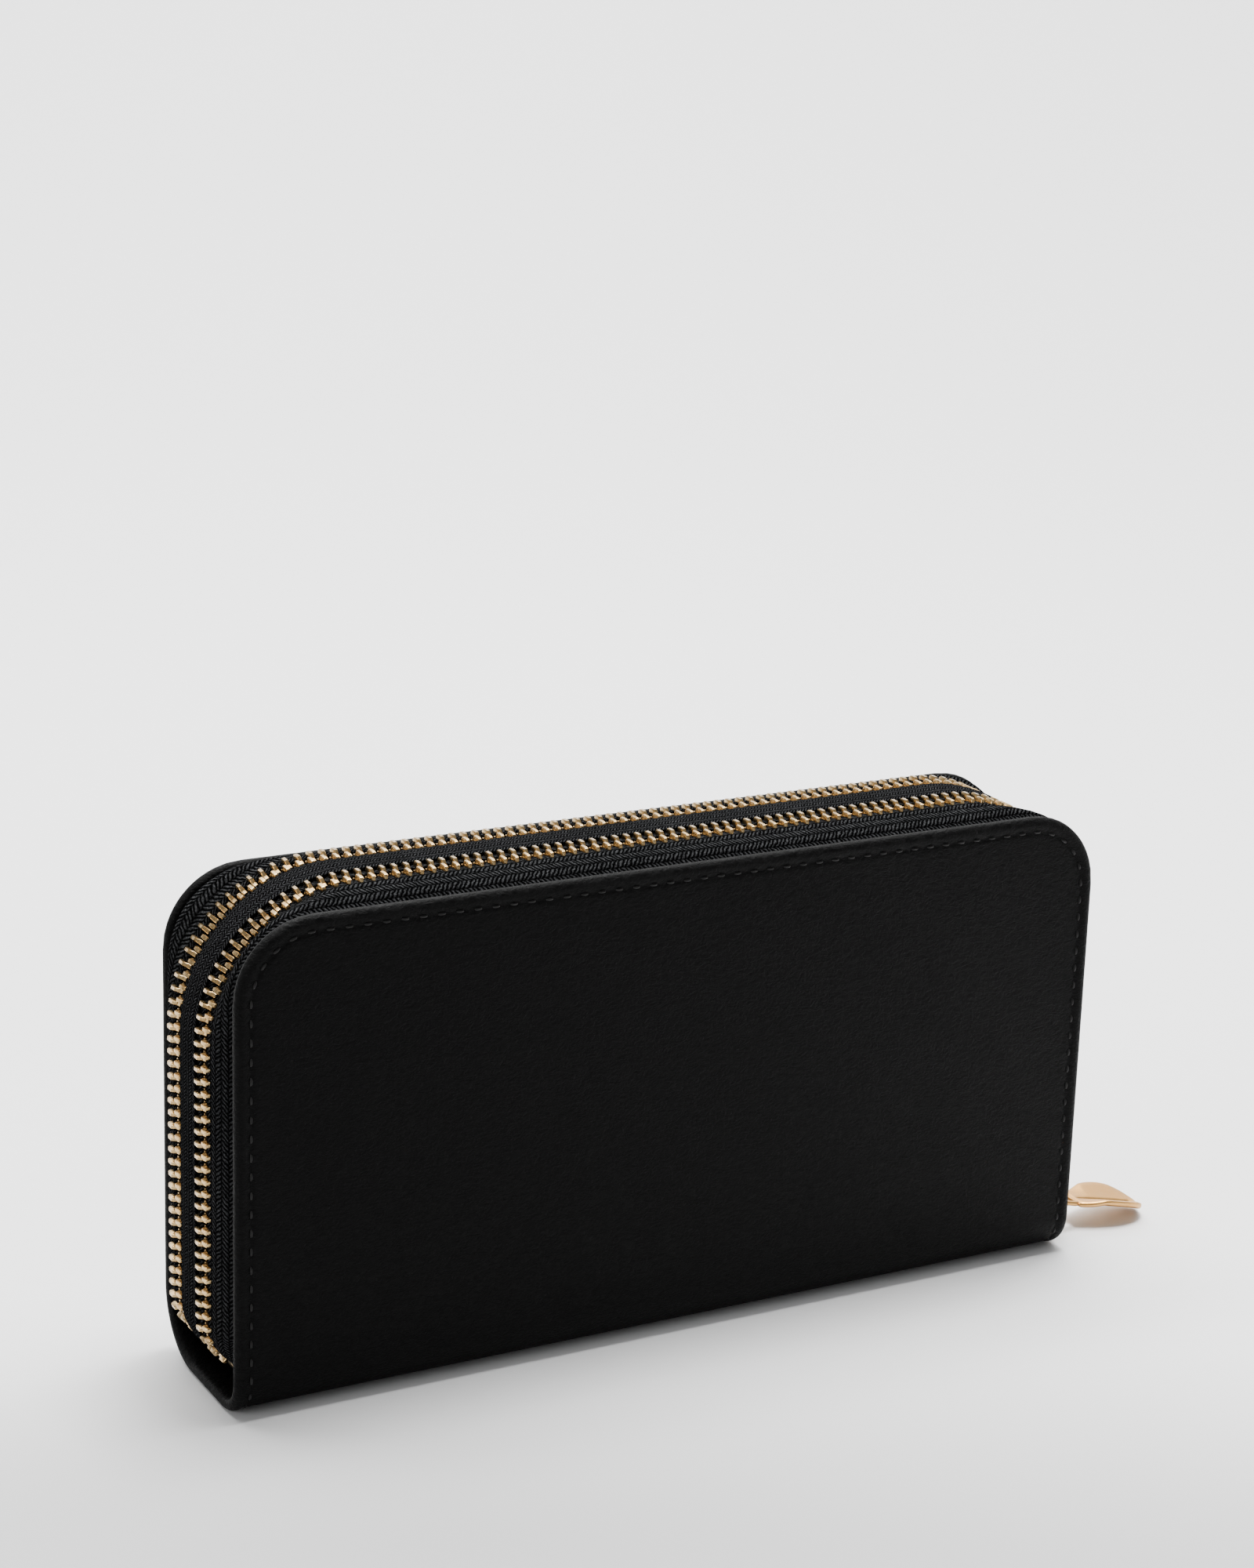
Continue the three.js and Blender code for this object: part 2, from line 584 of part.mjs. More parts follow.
// The pull hangs towards -Z from its pivot at the origin: an eye round the bridge, and a drop that widens.
function pullTab() {
  const bar = PULL_BAR;
  const eyeHalf = BRIDGE_WIDTH / 2 + PULL_EYE_PLAY;
  const armHalf = eyeHalf + PULL_ARM;
  const neck = PULL_EYE + 1;
  const widest = PULL_LENGTH * 0.66;
  const shape = new THREE.Shape();
  shape.moveTo(-armHalf, bar);
  shape.lineTo(-armHalf, -neck);
  shape.quadraticCurveTo(-PULL_WIDTH / 2, -widest + 5, -PULL_WIDTH / 2, -widest);
  shape.quadraticCurveTo(-PULL_WIDTH / 2, -PULL_LENGTH + 2.5, 0, -PULL_LENGTH);
  shape.quadraticCurveTo(PULL_WIDTH / 2, -PULL_LENGTH + 2.5, PULL_WIDTH / 2, -widest);
  shape.quadraticCurveTo(PULL_WIDTH / 2, -widest + 5, armHalf, -neck);
  shape.lineTo(armHalf, bar);
  shape.closePath();
  const eye = new THREE.Path();
  eye.moveTo(-eyeHalf, -bar);
  eye.lineTo(eyeHalf, -bar);
  eye.lineTo(eyeHalf, -PULL_EYE);
  eye.lineTo(-eyeHalf, -PULL_EYE);
  eye.closePath();
  shape.holes.push(eye);
  const drop = extrudeX(shape, -PULL_THICK / 2, PULL_THICK / 2, 4);
  const thinning = box(bar, PULL_THICK, -armHalf - 1, armHalf + 1, 1 - PULL_EYE, bar + 1);
  const otherFace = thinning.clone().translate(-PULL_THICK - bar, 0, 0);
  return cut(cut(drop, thinning), otherFace);
}

// Puts a slider with its bridge and pull in place. lift is the pull's angle from hanging straight down.
function sliderSet(name, matrix, lift) {
  const frame = new THREE.Group();
  frame.applyMatrix4(matrix);
  wallet.add(frame);
  add(name + "_slider_body", sliderBody(), gold, frame);
  add(name + "_slider_bridge", sliderBridge(), gold, frame);
  const pivot = new THREE.Group();
  pivot.position.set(PIVOT_OUT, 0, -SLIDER_LENGTH / 2 + PIVOT_IN);
  pivot.rotation.y = -lift;
  frame.add(pivot);
  add(name + "_pull", pullTab(), gold, pivot);
}

spine();
cover(-1, "front");
cover(1, "back");
cardSlots(-1, "front", FRONT_SLOTS);
cardSlots(1, "back", BACK_SLOTS);
divider();
coinPocket();
gusset(-1, -1, "front_left_gusset");
gusset(-1, 1, "front_right_gusset");
gusset(1, -1, "back_left_gusset");
gusset(1, 1, "back_right_gusset");
zip(-1, "near");
zip(1, "far");
middleBand();

const onRightEnd = (y, z) => new THREE.Matrix4().makeTranslation(CHAIN_X, y, z);
sliderSet("near", onRightEnd(-ZIP_Y, SLIDER_REST), Math.PI / 2 - PULL_DROOP);
sliderSet("far", onRightEnd(ZIP_Y, SLIDER_REST + FAR_SLIDER_UP), 0);
const alongCoinZip = new THREE.Matrix4()
  .makeBasis(new THREE.Vector3(0, 1, 0), new THREE.Vector3(0, 0, 1), new THREE.Vector3(1, 0, 0))
  .scale(new THREE.Vector3(COIN_SCALE, COIN_SCALE, COIN_SCALE))
  .setPosition(COIN_HALF - COIN_ROW_IN - (SLIDER_LENGTH / 2) * COIN_SCALE, COIN_ZIP_Y, COIN_ZIP_Z);
sliderSet("coin", alongCoinZip, 0);

export default wallet;
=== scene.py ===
"""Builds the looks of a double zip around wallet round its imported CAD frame.

It is laid out as a Blender add-on and run as a script.
"""

import math

import bpy
import numpy as np
from bpy.props import FloatProperty, FloatVectorProperty, IntProperty, PointerProperty
from mathutils import Matrix, Vector


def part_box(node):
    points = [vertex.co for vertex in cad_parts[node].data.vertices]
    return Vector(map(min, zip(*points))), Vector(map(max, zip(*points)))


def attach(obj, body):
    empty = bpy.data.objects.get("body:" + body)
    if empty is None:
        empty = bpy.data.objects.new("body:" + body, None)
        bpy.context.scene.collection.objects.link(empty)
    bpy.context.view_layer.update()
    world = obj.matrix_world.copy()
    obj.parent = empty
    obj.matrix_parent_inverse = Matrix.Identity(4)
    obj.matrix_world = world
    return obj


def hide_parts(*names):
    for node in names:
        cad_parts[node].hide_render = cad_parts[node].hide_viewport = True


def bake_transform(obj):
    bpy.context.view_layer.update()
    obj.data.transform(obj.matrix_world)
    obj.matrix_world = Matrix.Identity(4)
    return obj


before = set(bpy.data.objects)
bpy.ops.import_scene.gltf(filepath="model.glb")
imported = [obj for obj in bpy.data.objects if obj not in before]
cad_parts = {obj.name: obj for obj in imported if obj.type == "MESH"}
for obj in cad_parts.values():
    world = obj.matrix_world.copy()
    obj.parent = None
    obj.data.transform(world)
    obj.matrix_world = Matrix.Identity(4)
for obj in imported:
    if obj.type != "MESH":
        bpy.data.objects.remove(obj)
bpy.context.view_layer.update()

bl_info = {
    "name": "Zip Around Wallet",
    "version": (1, 0, 0),
    "blender": (4, 5, 0),
    "location": "View3D > Sidebar > Wallet",
    "description": "Leather skin, zips, pockets and studio of a double zip around wallet",
    "category": "Object",
}

MM = 0.001

# Sizes of the frame, in millimetres.
# X runs along the wallet, -Y is its front, and it stands on its spine at Z = 0.
HALF = 97.5
COVER_TOP = 100.6
FACE = 19.1
COVER_R = 16.5
BEND = {-1: 8.0, 1: 14.0}
SPLIT_Y = -3.0  # where the front and back skins meet under the spine
RIM = 2.2
LEATHER = 1.2
TURN_WIDTH = 7.0
LINING_IN = 2.5
LINING = 0.4
SLOTS_IN = 3.3
GAP = 0.3
LINING_INSET = TURN_WIDTH + 2 * GAP
ZIP_Y = 7.0
CHAIN_SIDE = 1.2
CHAIN_TOP = 1.8
CHAIN_R = 30.0
CHAIN_X = HALF + CHAIN_SIDE
ROW_OUT = 3.0
ROW_END_Z = 9.2
RIGHT_FOOT_Z = 3.9
TAPE = 0.5
CURL = 8.8
CURL_Z = 16.2
SEWN_FOOT_Z = 9.5
SLIDER_REST = 10.2
FAR_SLIDER_UP = 28.5
CROWN = 2.5
PIVOT_OUT = 3.55
COIN_HALF = 68.0
COIN_ZIP_Y = 3.6
COIN_ZIP_Z = 72.0
COIN_SCALE = 0.7
SLOT_TOP = 86.0
CARD_STEP = 12.0
CARD_HALF = 84.0
CARD_SLOT = 0.8
POCKET_FOOT = 12.0
POCKET_CORNER = 3.0
POCKET_STITCH_IN = 1.5
POCKET_STITCH_PITCH = 3.2
POCKET_STITCH_SUNK = 0.08
POCKET_STITCH = (0.0022, 0.00045)  # length and width in metres
COVER_BODY = {-1: "front_cover", 1: "back_cover"}
COVER_WORD = {-1: "front", 1: "back"}
ZIP_WORD = {-1: "near", 1: "far"}


class WalletSizes(bpy.types.PropertyGroup):
    stitch_pitch: FloatProperty(
        name="Stitch Pitch", description="From one stitch to the next along the edge",
        default=0.0038, min=0.002, unit="LENGTH", precision=4)
    stitch_inset: FloatProperty(
        name="Stitch Inset", description="Line of stitching in from the edge of the leather",
        default=0.0032, min=0.001, unit="LENGTH", precision=4)
    thread_width: FloatProperty(
        name="Thread Width", description="Width of one stitch",
        default=0.00062, min=0.0002, unit="LENGTH", precision=5)
    tooth_pitch: FloatProperty(
        name="Tooth Pitch", description="From one tooth to the next in the same row",
        default=0.00254, min=0.001, unit="LENGTH", precision=5)
    leather_grain: FloatProperty(
        name="Leather Grain", description="Size of one pebble of the outer leather's grain",
        default=0.0007, min=0.0002, unit="LENGTH", precision=5)
    tape_rib: FloatProperty(
        name="Tape Rib", description="Width of one rib of the zip tapes' herringbone weave",
        default=0.0018, min=0.0004, unit="LENGTH", precision=5)


class WalletColours(bpy.types.PropertyGroup):
    leather: FloatVectorProperty(
        name="Leather", description="Outer leather", subtype="COLOR",
        default=(0.0009, 0.0009, 0.0009), min=0, max=1)
    inner_leather: FloatVectorProperty(
        name="Inner Leather", description="Card slots and pockets", subtype="COLOR",
        default=(0.011, 0.0108, 0.011), min=0, max=1)
    tape: FloatVectorProperty(
        name="Tape", description="Woven zip tapes", subtype="COLOR",
        default=(0.0052, 0.0053, 0.0055), min=0, max=1)
    lining: FloatVectorProperty(
        name="Lining", description="Woven lining", subtype="COLOR",
        default=(0.016, 0.016, 0.018), min=0, max=1)
    thread: FloatVectorProperty(
        name="Thread", description="Stitches", subtype="COLOR",
        default=(0.0055, 0.0054, 0.0052), min=0, max=1)
    gold: FloatVectorProperty(
        name="Gold Metal", description="Teeth, stops and sliders", subtype="COLOR",
        default=(0.50, 0.36, 0.18), min=0, max=1)
    pull: FloatVectorProperty(
        name="Pull Metal", description="Polished pulls", subtype="COLOR",
        default=(0.60, 0.335, 0.115), min=0, max=1)
    floor: FloatVectorProperty(
        name="Floor", description="Studio floor and backdrop", subtype="COLOR",
        default=(0.80, 0.80, 0.80), min=0, max=1)


# Meshes


def only(*objects):
    """Selects these objects and nothing else, and makes the first one active."""
    bpy.ops.object.select_all(action="DESELECT")
    for piece in objects:
        piece.select_set(True)
    bpy.context.view_layer.objects.active = objects[0]


def close_up(piece, distance=1e-7):
    """Merges doubled vertices and turns the faces outwards."""
    only(piece)
    bpy.ops.object.mode_set(mode="EDIT")
    bpy.ops.mesh.select_all(action="SELECT")
    bpy.ops.mesh.remove_doubles(threshold=distance)
    bpy.ops.mesh.normals_make_consistent(inside=False)
    bpy.ops.object.mode_set(mode="OBJECT")


def smooth(piece, angle=40):
    only(piece)
    bpy.ops.object.shade_smooth_by_angle(angle=math.radians(angle))


def named(name):
    """Names the active object, which is the one just made, and its mesh."""
    piece = bpy.context.object
    piece.name = name
    piece.data.name = name
    return piece


def drawn_grid(name, points, uv):
    """A grid primitive drawn out to points, rows by columns by 3 in millimetres, with uv in metres."""
    rows, columns = points.shape[:2]
    bpy.ops.object.select_all(action="DESELECT")
    bpy.ops.mesh.primitive_grid_add(x_subdivisions=columns - 1, y_subdivisions=rows - 1, size=1)
    piece = named(name)
    mesh = piece.data
    if len(mesh.vertices) != rows * columns:
        raise RuntimeError(f"{name}: grid has {len(mesh.vertices)} vertices, not {rows * columns}")
    place = np.empty(3 * len(mesh.vertices), np.float32)
    mesh.vertices.foreach_get("co", place)
    place = place.reshape(-1, 3)
    column = np.rint((place[:, 0] + 0.5) * (columns - 1)).astype(int)
    row = np.rint((place[:, 1] + 0.5) * (rows - 1)).astype(int)
    mesh.vertices.foreach_set("co", (points[row, column] * MM).astype(np.float32).ravel())
    loops = np.empty(len(mesh.loops), np.int32)
    mesh.loops.foreach_get("vertex_index", loops)
    mesh.uv_layers[0].uv.foreach_set("vector", uv[row[loops], column[loops]].astype(np.float32).ravel())
    mesh.update()
    return piece


def distances(line):
    """Distance of each point of a polyline from its start."""
    return np.concatenate([[0], np.cumsum(np.linalg.norm(np.diff(line, axis=0), axis=1))])


def plain_uv(points):
    """Distances along the middle row and column of a grid, in metres."""
    rows, columns = points.shape[:2]
    u = distances(points[:, columns // 2])
    v = distances(points[rows // 2])
    return np.stack(np.meshgrid(u, v, indexing="ij"), axis=-1) * MM


def shell(name, outer, inner, uv=None, angle=40):
    """A closed piece between two grids of points that share their boundary."""
    uv = plain_uv(outer) if uv is None else uv
    piece = drawn_grid(name, outer, uv)
    back = drawn_grid(name + "_back", inner, uv)
    only(piece, back)
    bpy.ops.object.join()
    close_up(piece)
    smooth(piece, angle)
    return piece


def grid_normals(points):
    down = np.gradient(points, axis=0)
    across = np.gradient(points, axis=1)
    normal = np.cross(down, across)
    return normal / np.maximum(np.linalg.norm(normal, axis=2, keepdims=True), 1e-9)


def sheet(name, middle, thickness, uv=None, angle=40):
    """A closed sheet about a grid of points, which thins to nothing at its edges."""
    normal = grid_normals(middle)
    depth = np.broadcast_to(np.asarray(thickness, float), middle.shape[:2]).copy()
    depth[0] = depth[-1] = 0
    depth[:, 0] = depth[:, -1] = 0
    half = normal * depth[..., None] / 2
    return shell(name, middle + half, middle - half, uv, angle)


def edge_spaced(length, step, edge=(0, 0.08, 0.25)):
    """Positions from 0 to length with close ones at both ends, so that an edge comes out rounded."""
    inside = np.linspace(edge[-1] + 0.3, length - edge[-1] - 0.3, max(2, int(length / step)))
    return np.concatenate([edge, inside, length - np.array(edge[::-1])])


def bent_line(points, radius, steps=5):
    """The polyline through points with each inner corner rounded."""
    points = [np.asarray(p, float) for p in points]
    out = [points[0]]
    for before, here, after in zip(points, points[1:], points[2:]):
        a, b = before - here, after - here
        la, lb = np.linalg.norm(a), np.linalg.norm(b)
        r = min(radius, la * 0.45, lb * 0.45)
        start, end = here + a / la * r, here + b / lb * r
        for t in np.linspace(0, 1, steps):
            out.append((1 - t) ** 2 * start + 2 * t * (1 - t) * here + t**2 * end)
    out.append(points[-1])
    return np.array(out)


def along(line, positions):
    """Points of a polyline at distances along it."""
    length = distances(line)
    return np.stack([np.interp(positions, length, line[:, k]) for k in range(line.shape[1])], axis=-1)


def line_length(line):
    return float(np.linalg.norm(np.diff(line, axis=0), axis=1).sum())


def strip(name, line, width_axis, width, thickness, step, radius):
    """A flat bar that follows a polyline, with its width along width_axis."""
    line = bent_line(line, radius)
    total = line_length(line)
    line = along(line, edge_spaced(total, step))
    across = edge_spaced(width, width / 4) - width / 2
    middle = line[:, None, :] + np.asarray(width_axis, float)[None, None, :] * across[None, :, None]
    return sheet(name, middle, thickness, angle=50)


def block(name, low, high, bevel, segments=3):
    """A box between two corners in millimetres, with rounded edges."""
    low, high = np.asarray(low, float), np.asarray(high, float)
    centre, size = (low + high) / 2 * MM, np.abs(high - low) * MM
    bpy.ops.object.select_all(action="DESELECT")
    bpy.ops.mesh.primitive_cube_add(size=1, location=centre, scale=size)
    piece = named(name)
    bpy.ops.object.transform_apply(location=True, rotation=True, scale=True)
    bpy.ops.object.mode_set(mode="EDIT")
    bpy.ops.mesh.select_all(action="SELECT")
    bpy.ops.mesh.bevel(offset=bevel * MM, segments=segments, affect="EDGES")
    bpy.ops.object.mode_set(mode="OBJECT")
    smooth(piece)
    return piece


def join(name, *pieces):
    only(*pieces)
    if len(pieces) > 1:
        bpy.ops.object.join()
    return named(name)


def copies(name, unit, matrices):
    """Copies of a unit at each matrix, as one piece."""
    made = []
    for matrix in matrices:
        mesh = unit.data.copy()
        mesh.transform(matrix)
        piece = bpy.data.objects.new(name + "_copy", mesh)
        bpy.context.scene.collection.objects.link(piece)
        made.append(piece)
    return join(name, *made)


def drop(piece):
    bpy.data.objects.remove(piece, do_unlink=True)


def frame_matrix(origin, x, y, z):
    """A placing from the unit's own axes, with the origin in millimetres."""
    m = Matrix.Identity(4)
    for k, axis in enumerate((x, y, z)):
        for i in range(3):
            m[i][k] = float(axis[i])
    for i in range(3):
        m[i][3] = float(origin[i]) * MM
    return m


# Materials

LEATHER_ROUGHNESS = (0.46, 0.62)
BOARD_DARK = (0.20, 0.15, 0.095)
BOARD_LIGHT = (0.38, 0.30, 0.20)
FLOOR_SHADE_REACH = -0.115  # metres in front of the wallet's middle, where the floor's painted shade is at its darkest
# Painted shade: the floor's colour at the front edge, as a share of its own colour
FLOOR_PAINTED_SHADE = 0.6
VIEW_TURN = 29  # degrees from the wallet's front to the camera's side of the floor


class Net:
    """Adds nodes to a tree and links them."""

    def __init__(self, tree):
        self.tree = tree

    def add(self, kind, inputs=None, **settings):
        node = self.tree.nodes.new(kind)
        for key, value in settings.items():
            setattr(node, key, value)
        for key, value in (inputs or {}).items():
            if isinstance(value, bpy.types.NodeSocket):
                self.tree.links.new(value, node.inputs[key])
            else:
                node.inputs[key].default_value = value
        return node

    def math(self, operation, *values):
        return self.add("ShaderNodeMath", dict(enumerate(values)), operation=operation).outputs[0]

    def noise(self, vector, scale, detail=3.0, roughness=0.55, distortion=0.0):
        inputs = {"Vector": vector, "Scale": scale, "Detail": detail, "Roughness": roughness}
        return self.add("ShaderNodeTexNoise", {**inputs, "Distortion": distortion}).outputs[0]

    def spread(self, value, low, high, out_low=0.0, out_high=1.0, **settings):
        inputs = {"Value": value, "From Min": low, "From Max": high}
        inputs |= {"To Min": out_low, "To Max": out_high}
        return self.add("ShaderNodeMapRange", inputs, **settings).outputs[0]

    def stretched(self, vector, scale):
        return self.add("ShaderNodeVectorMath", {0: vector, 1: scale}, operation="MULTIPLY").outputs[0]

    def blend(self, factor, first, second):
        node = self.add("ShaderNodeMix", {0: factor, 6: first, 7: second}, data_type="RGBA")
        return node.outputs[2]


def new_group(name, inputs, outputs):
    """An empty group that takes a Vector and these numbers, with its own input and output nodes."""
    tree = bpy.data.node_groups.new(name, "ShaderNodeTree")
    tree.interface.new_socket("Vector", in_out="INPUT", socket_type="NodeSocketVector")
    for socket, default in inputs.items():
        made = tree.interface.new_socket(socket, in_out="INPUT", socket_type="NodeSocketFloat")
        made.default_value = default
    for socket in outputs:
        tree.interface.new_socket(socket, in_out="OUTPUT", socket_type="NodeSocketFloat")
    net = Net(tree)
    return net, net.add("NodeGroupInput"), net.add("NodeGroupOutput")


def finish_group(net, output, **values):
    for key, value in values.items():
        net.tree.links.new(value, output.inputs[key])
    return net.tree


def grain_group():
    """Leather grain: pebbles and short level creases. Size is one pebble."""
    net, given, out = new_group("leather_grain", {"Size": 0.0007, "Crease": 0.5}, ("Height", "Tone"))
    vector = given.outputs["Vector"]
    scale = net.math("DIVIDE", 1.0, given.outputs["Size"])
    cells = {"Vector": vector, "Scale": scale, "Smoothness": 0.6}
    pebbles = net.add("ShaderNodeTexVoronoi", cells, feature="SMOOTH_F1").outputs["Distance"]
    fine = net.noise(vector, net.math("MULTIPLY", scale, 2.3), 4.0)
    level = net.stretched(vector, (0.55, 0.55, 1.0))
    warp = net.noise(level, net.math("MULTIPLY", scale, 0.55), 5.0, 0.62, 0.4)
    crease = net.math("ABSOLUTE", net.math("MULTIPLY_ADD", warp, 2.0, -1.0))
    crease = net.spread(crease, 0.0, 0.16)
    crease = net.math("MULTIPLY", net.math("SUBTRACT", 1.0, crease), given.outputs["Crease"])
    body = net.math("MULTIPLY_ADD", fine, 0.45, net.math("MULTIPLY", pebbles, -0.6))
    height = net.math("SUBTRACT", body, crease)
    tone = net.noise(vector, 26.0, 4.0, 0.6)
    return finish_group(net, out, Height=height, Tone=tone)


def weave_group():
    """Herringbone or twill: slanting threads whose slant turns at every rib.

    Vector is the piece's own UV in metres. Thread and Rib are widths, and Slant is in threads a rib.
    Tone is a painted highlight: highest on the thread tops and nothing in the hollows between them, with
    random specks.
    """
    sizes = {"Thread": 0.0006, "Rib": 0.0013, "Slant": 1.6}
    net, given, out = new_group("herringbone_weave", sizes, ("Height", "Tone"))
    wobble = net.noise(given.outputs["Vector"], 900.0, 2.0)
    split = net.add("ShaderNodeSeparateXYZ", {0: given.outputs["Vector"]})
    lengthwise = net.math("DIVIDE", split.outputs[0], given.outputs["Thread"])
    ribs = net.math("DIVIDE", split.outputs[1], given.outputs["Rib"])
    inside = net.math("FRACT", ribs)
    odd = net.math("FLOORED_MODULO", net.math("FLOOR", ribs), 2.0)
    turn = net.math("MULTIPLY_ADD", odd, 2.0, -1.0)
    slant = net.math("MULTIPLY", net.math("MULTIPLY", inside, given.outputs["Slant"]), turn)
    phase = net.math("ADD", net.math("ADD", lengthwise, slant), net.math("MULTIPLY", wobble, 1.1))
    thread = net.math("ABSOLUTE", net.math("SINE", net.math("MULTIPLY", phase, math.pi)))
    crown = net.math("POWER", net.math("SINE", net.math("MULTIPLY", inside, math.pi)), 0.4)
    height = net.math("MULTIPLY", thread, net.math("MULTIPLY_ADD", crown, 0.8, 0.2))
    speck = net.noise(given.outputs["Vector"], 2600.0, 1.0)
    # Painted highlight: the thread tops get the paler colour, and the hollows between threads get
    # painted shade.
    crest_highlight = net.math("POWER", height, 2.0)
    tone = net.math("MULTIPLY", crest_highlight, net.spread(speck, 0.35, 0.65, 0.25, 1.0))
    return finish_group(net, out, Height=height, Tone=tone)


def wear_group():
    """Rubbed patches, from 0 to 1. Size is the width of one patch."""
    net, given, out = new_group("rubbed_patches", {"Size": 0.02, "Amount": 0.5}, ("Mask",))
    scale = net.math("DIVIDE", 1.0, given.outputs["Size"])
    broad = net.noise(given.outputs["Vector"], scale, 6.0, 0.65, 0.3)
    fine = net.noise(given.outputs["Vector"], net.math("MULTIPLY", scale, 14.0), 2.0)
    mixed = net.math("MULTIPLY_ADD", fine, 0.35, net.math("MULTIPLY", broad, 0.65))
    mask = net.math("MULTIPLY", net.spread(mixed, 0.45, 0.68), given.outputs["Amount"])
    return finish_group(net, out, Mask=mask)


GROUPS = {"leather_grain": grain_group, "herringbone_weave": weave_group, "rubbed_patches": wear_group}


def group(net, name, **inputs):
    tree = bpy.data.node_groups.get(name) or GROUPS[name]()
    return net.add("ShaderNodeGroup", inputs, node_tree=tree).outputs


def shade(colour, factor):
    return tuple(min(1.0, c * factor) for c in colour) + (1.0,)


def start(name, **constants):
    """A material with its Principled shader, whose constant values are set on the shader itself."""
    made = bpy.data.materials.new(name)
    made.use_nodes = True
    net = Net(made.node_tree)
    shader = made.node_tree.nodes["Principled BSDF"]
    for key, value in constants.items():
        shader.inputs[key.replace("_", " ")].default_value = value
    return made, net, shader


def wire(net, shader, colour, roughness, height, distance, strength=1.0):
    """Links a colour, a roughness and a relief, whose depth is distance, to the shader."""
    bump = net.add("ShaderNodeBump", {"Height": height, "Distance": distance, "Strength": strength})
    for key, value in (("Base Color", colour), ("Roughness", roughness), ("Normal", bump.outputs[0])):
        net.tree.links.new(value, shader.inputs[key])


def place(net, kind="Object"):
    return net.add("ShaderNodeTexCoord").outputs[kind]


def leather_material(name, colour, size, crease, bump):
    made, net, shader = start(name, Specular_IOR_Level=0.07)
    vector = place(net)
    grain = group(net, "leather_grain", Vector=vector, Size=size, Crease=crease)
    worn = group(net, "rubbed_patches", Vector=vector, Size=0.018, Amount=0.6)
    base = net.blend(grain["Tone"], shade(colour, 0.75), shade(colour, 1.35))
    base = net.blend(worn["Mask"], base, shade(colour, 1.9))
    dull = net.math("MULTIPLY_ADD", grain["Height"], -0.35, worn["Mask"])
    gloss = net.spread(dull, -0.4, 0.9, *LEATHER_ROUGHNESS)
    wire(net, shader, base, gloss, grain["Height"], bump)
    return made


def woven_material(name, colour, thread, rib, slant, bump, painted_highlight):
    """Woven cloth with a painted highlight on the tops of its threads and painted shade in the hollows
    between them. The last argument is how much paler the painted thread tops are than its colour.
    """
    made, net, shader = start(name, Specular_IOR_Level=0.0)
    vector = place(net, "UV")
    cloth = group(net, "herringbone_weave", Vector=vector, Thread=thread, Rib=rib, Slant=slant)
    worn = group(net, "rubbed_patches", Vector=place(net), Size=0.012, Amount=0.45)
    # Painted shade and highlight: the hollows between threads are painted near black, and the thread
    # tops are painted many times paler than the cloth's colour.
    base = net.blend(cloth["Tone"], shade(colour, 0.06), shade(colour, painted_highlight))
    # Rubbed patches paint the thread tops paler still: partly wear, partly painted highlight.
    wear_and_highlight = net.math("MULTIPLY", worn["Mask"], cloth["Tone"])
    base = net.blend(wear_and_highlight, base, shade(colour, painted_highlight * 1.5))
    rough = net.spread(cloth["Tone"], 0.0, 1.0, 0.85, 0.58)
    wire(net, shader, base, rough, cloth["Height"], bump)
    return made


def metal_material(name, colour, rough, deep):
    """Plated metal: deep is how far the colour turns warmer in patches."""
    made, net, shader = start(name, Metallic=1.0)
    vector = place(net)
    tint = net.noise(vector, 320.0, 3.0)
    warm = (colour[0] * 0.86, colour[1] * 0.66, colour[2] * 0.42)
    base = net.blend(net.spread(tint, 0.35, 0.75, 0.0, deep), shade(colour, 1.0), shade(warm, 1.0))
    worn = group(net, "rubbed_patches", Vector=vector, Size=0.002, Amount=1.0)
    gloss = net.spread(worn["Mask"], 0.0, 1.0, rough, rough + 0.14)
    hair = net.noise(net.stretched(vector, (1.0, 9.0, 1.0)), 1400.0, 2.0)
    wire(net, shader, base, gloss, hair, 0.000012, 0.6)
    return made


def thread_material(name, colour):
    made, net, shader = start(name, Specular_IOR_Level=0.2)
    vector = place(net)
    ply = net.noise(net.stretched(vector, (1.0, 1.0, 3.0)), 2600.0, 2.0)
    base = net.blend(ply, shade(colour, 0.4), shade(colour, 2.6))
    wire(net, shader, base, net.spread(ply, 0.0, 1.0, 0.55, 0.35), ply, 0.00006)
    return made


def board_material(name):
    made, net, shader = start(name)
    vector = place(net)
    fibre = net.noise(net.stretched(vector, (0.3, 1.0, 1.6)), 900.0, 5.0, 0.7)
    base = net.blend(fibre, (*BOARD_DARK, 1.0), (*BOARD_LIGHT, 1.0))
    wire(net, shader, base, net.spread(fibre, 0.0, 1.0, 0.95, 0.8), fibre, 0.00005)
    return made


def stage_material(name, colour):
    """Paper, with painted shade that makes it greyer towards the front edge."""
    made, net, shader = start(name, Specular_IOR_Level=0.15)
    paper = net.noise(place(net), 220.0, 3.0)
    base = net.blend(paper, shade(colour, 0.985), shade(colour, 1.015))
    # Painted shade: the floor's colour is darkened smoothly from the wallet's middle towards the front
    # edge.
    split = net.add("ShaderNodeSeparateXYZ", {0: place(net)})
    away = net.math("MULTIPLY", split.outputs[0], 0.49)
    back = net.math("MULTIPLY_ADD", split.outputs[1], 0.87, away)
    front = net.spread(back, 0.0, FLOOR_SHADE_REACH, interpolation_type="SMOOTHSTEP")
    base = net.blend(front, base, shade(colour, FLOOR_PAINTED_SHADE))
    wire(net, shader, base, net.spread(paper, 0.0, 1.0, 0.85, 0.95), paper, 0.00004)
    return made


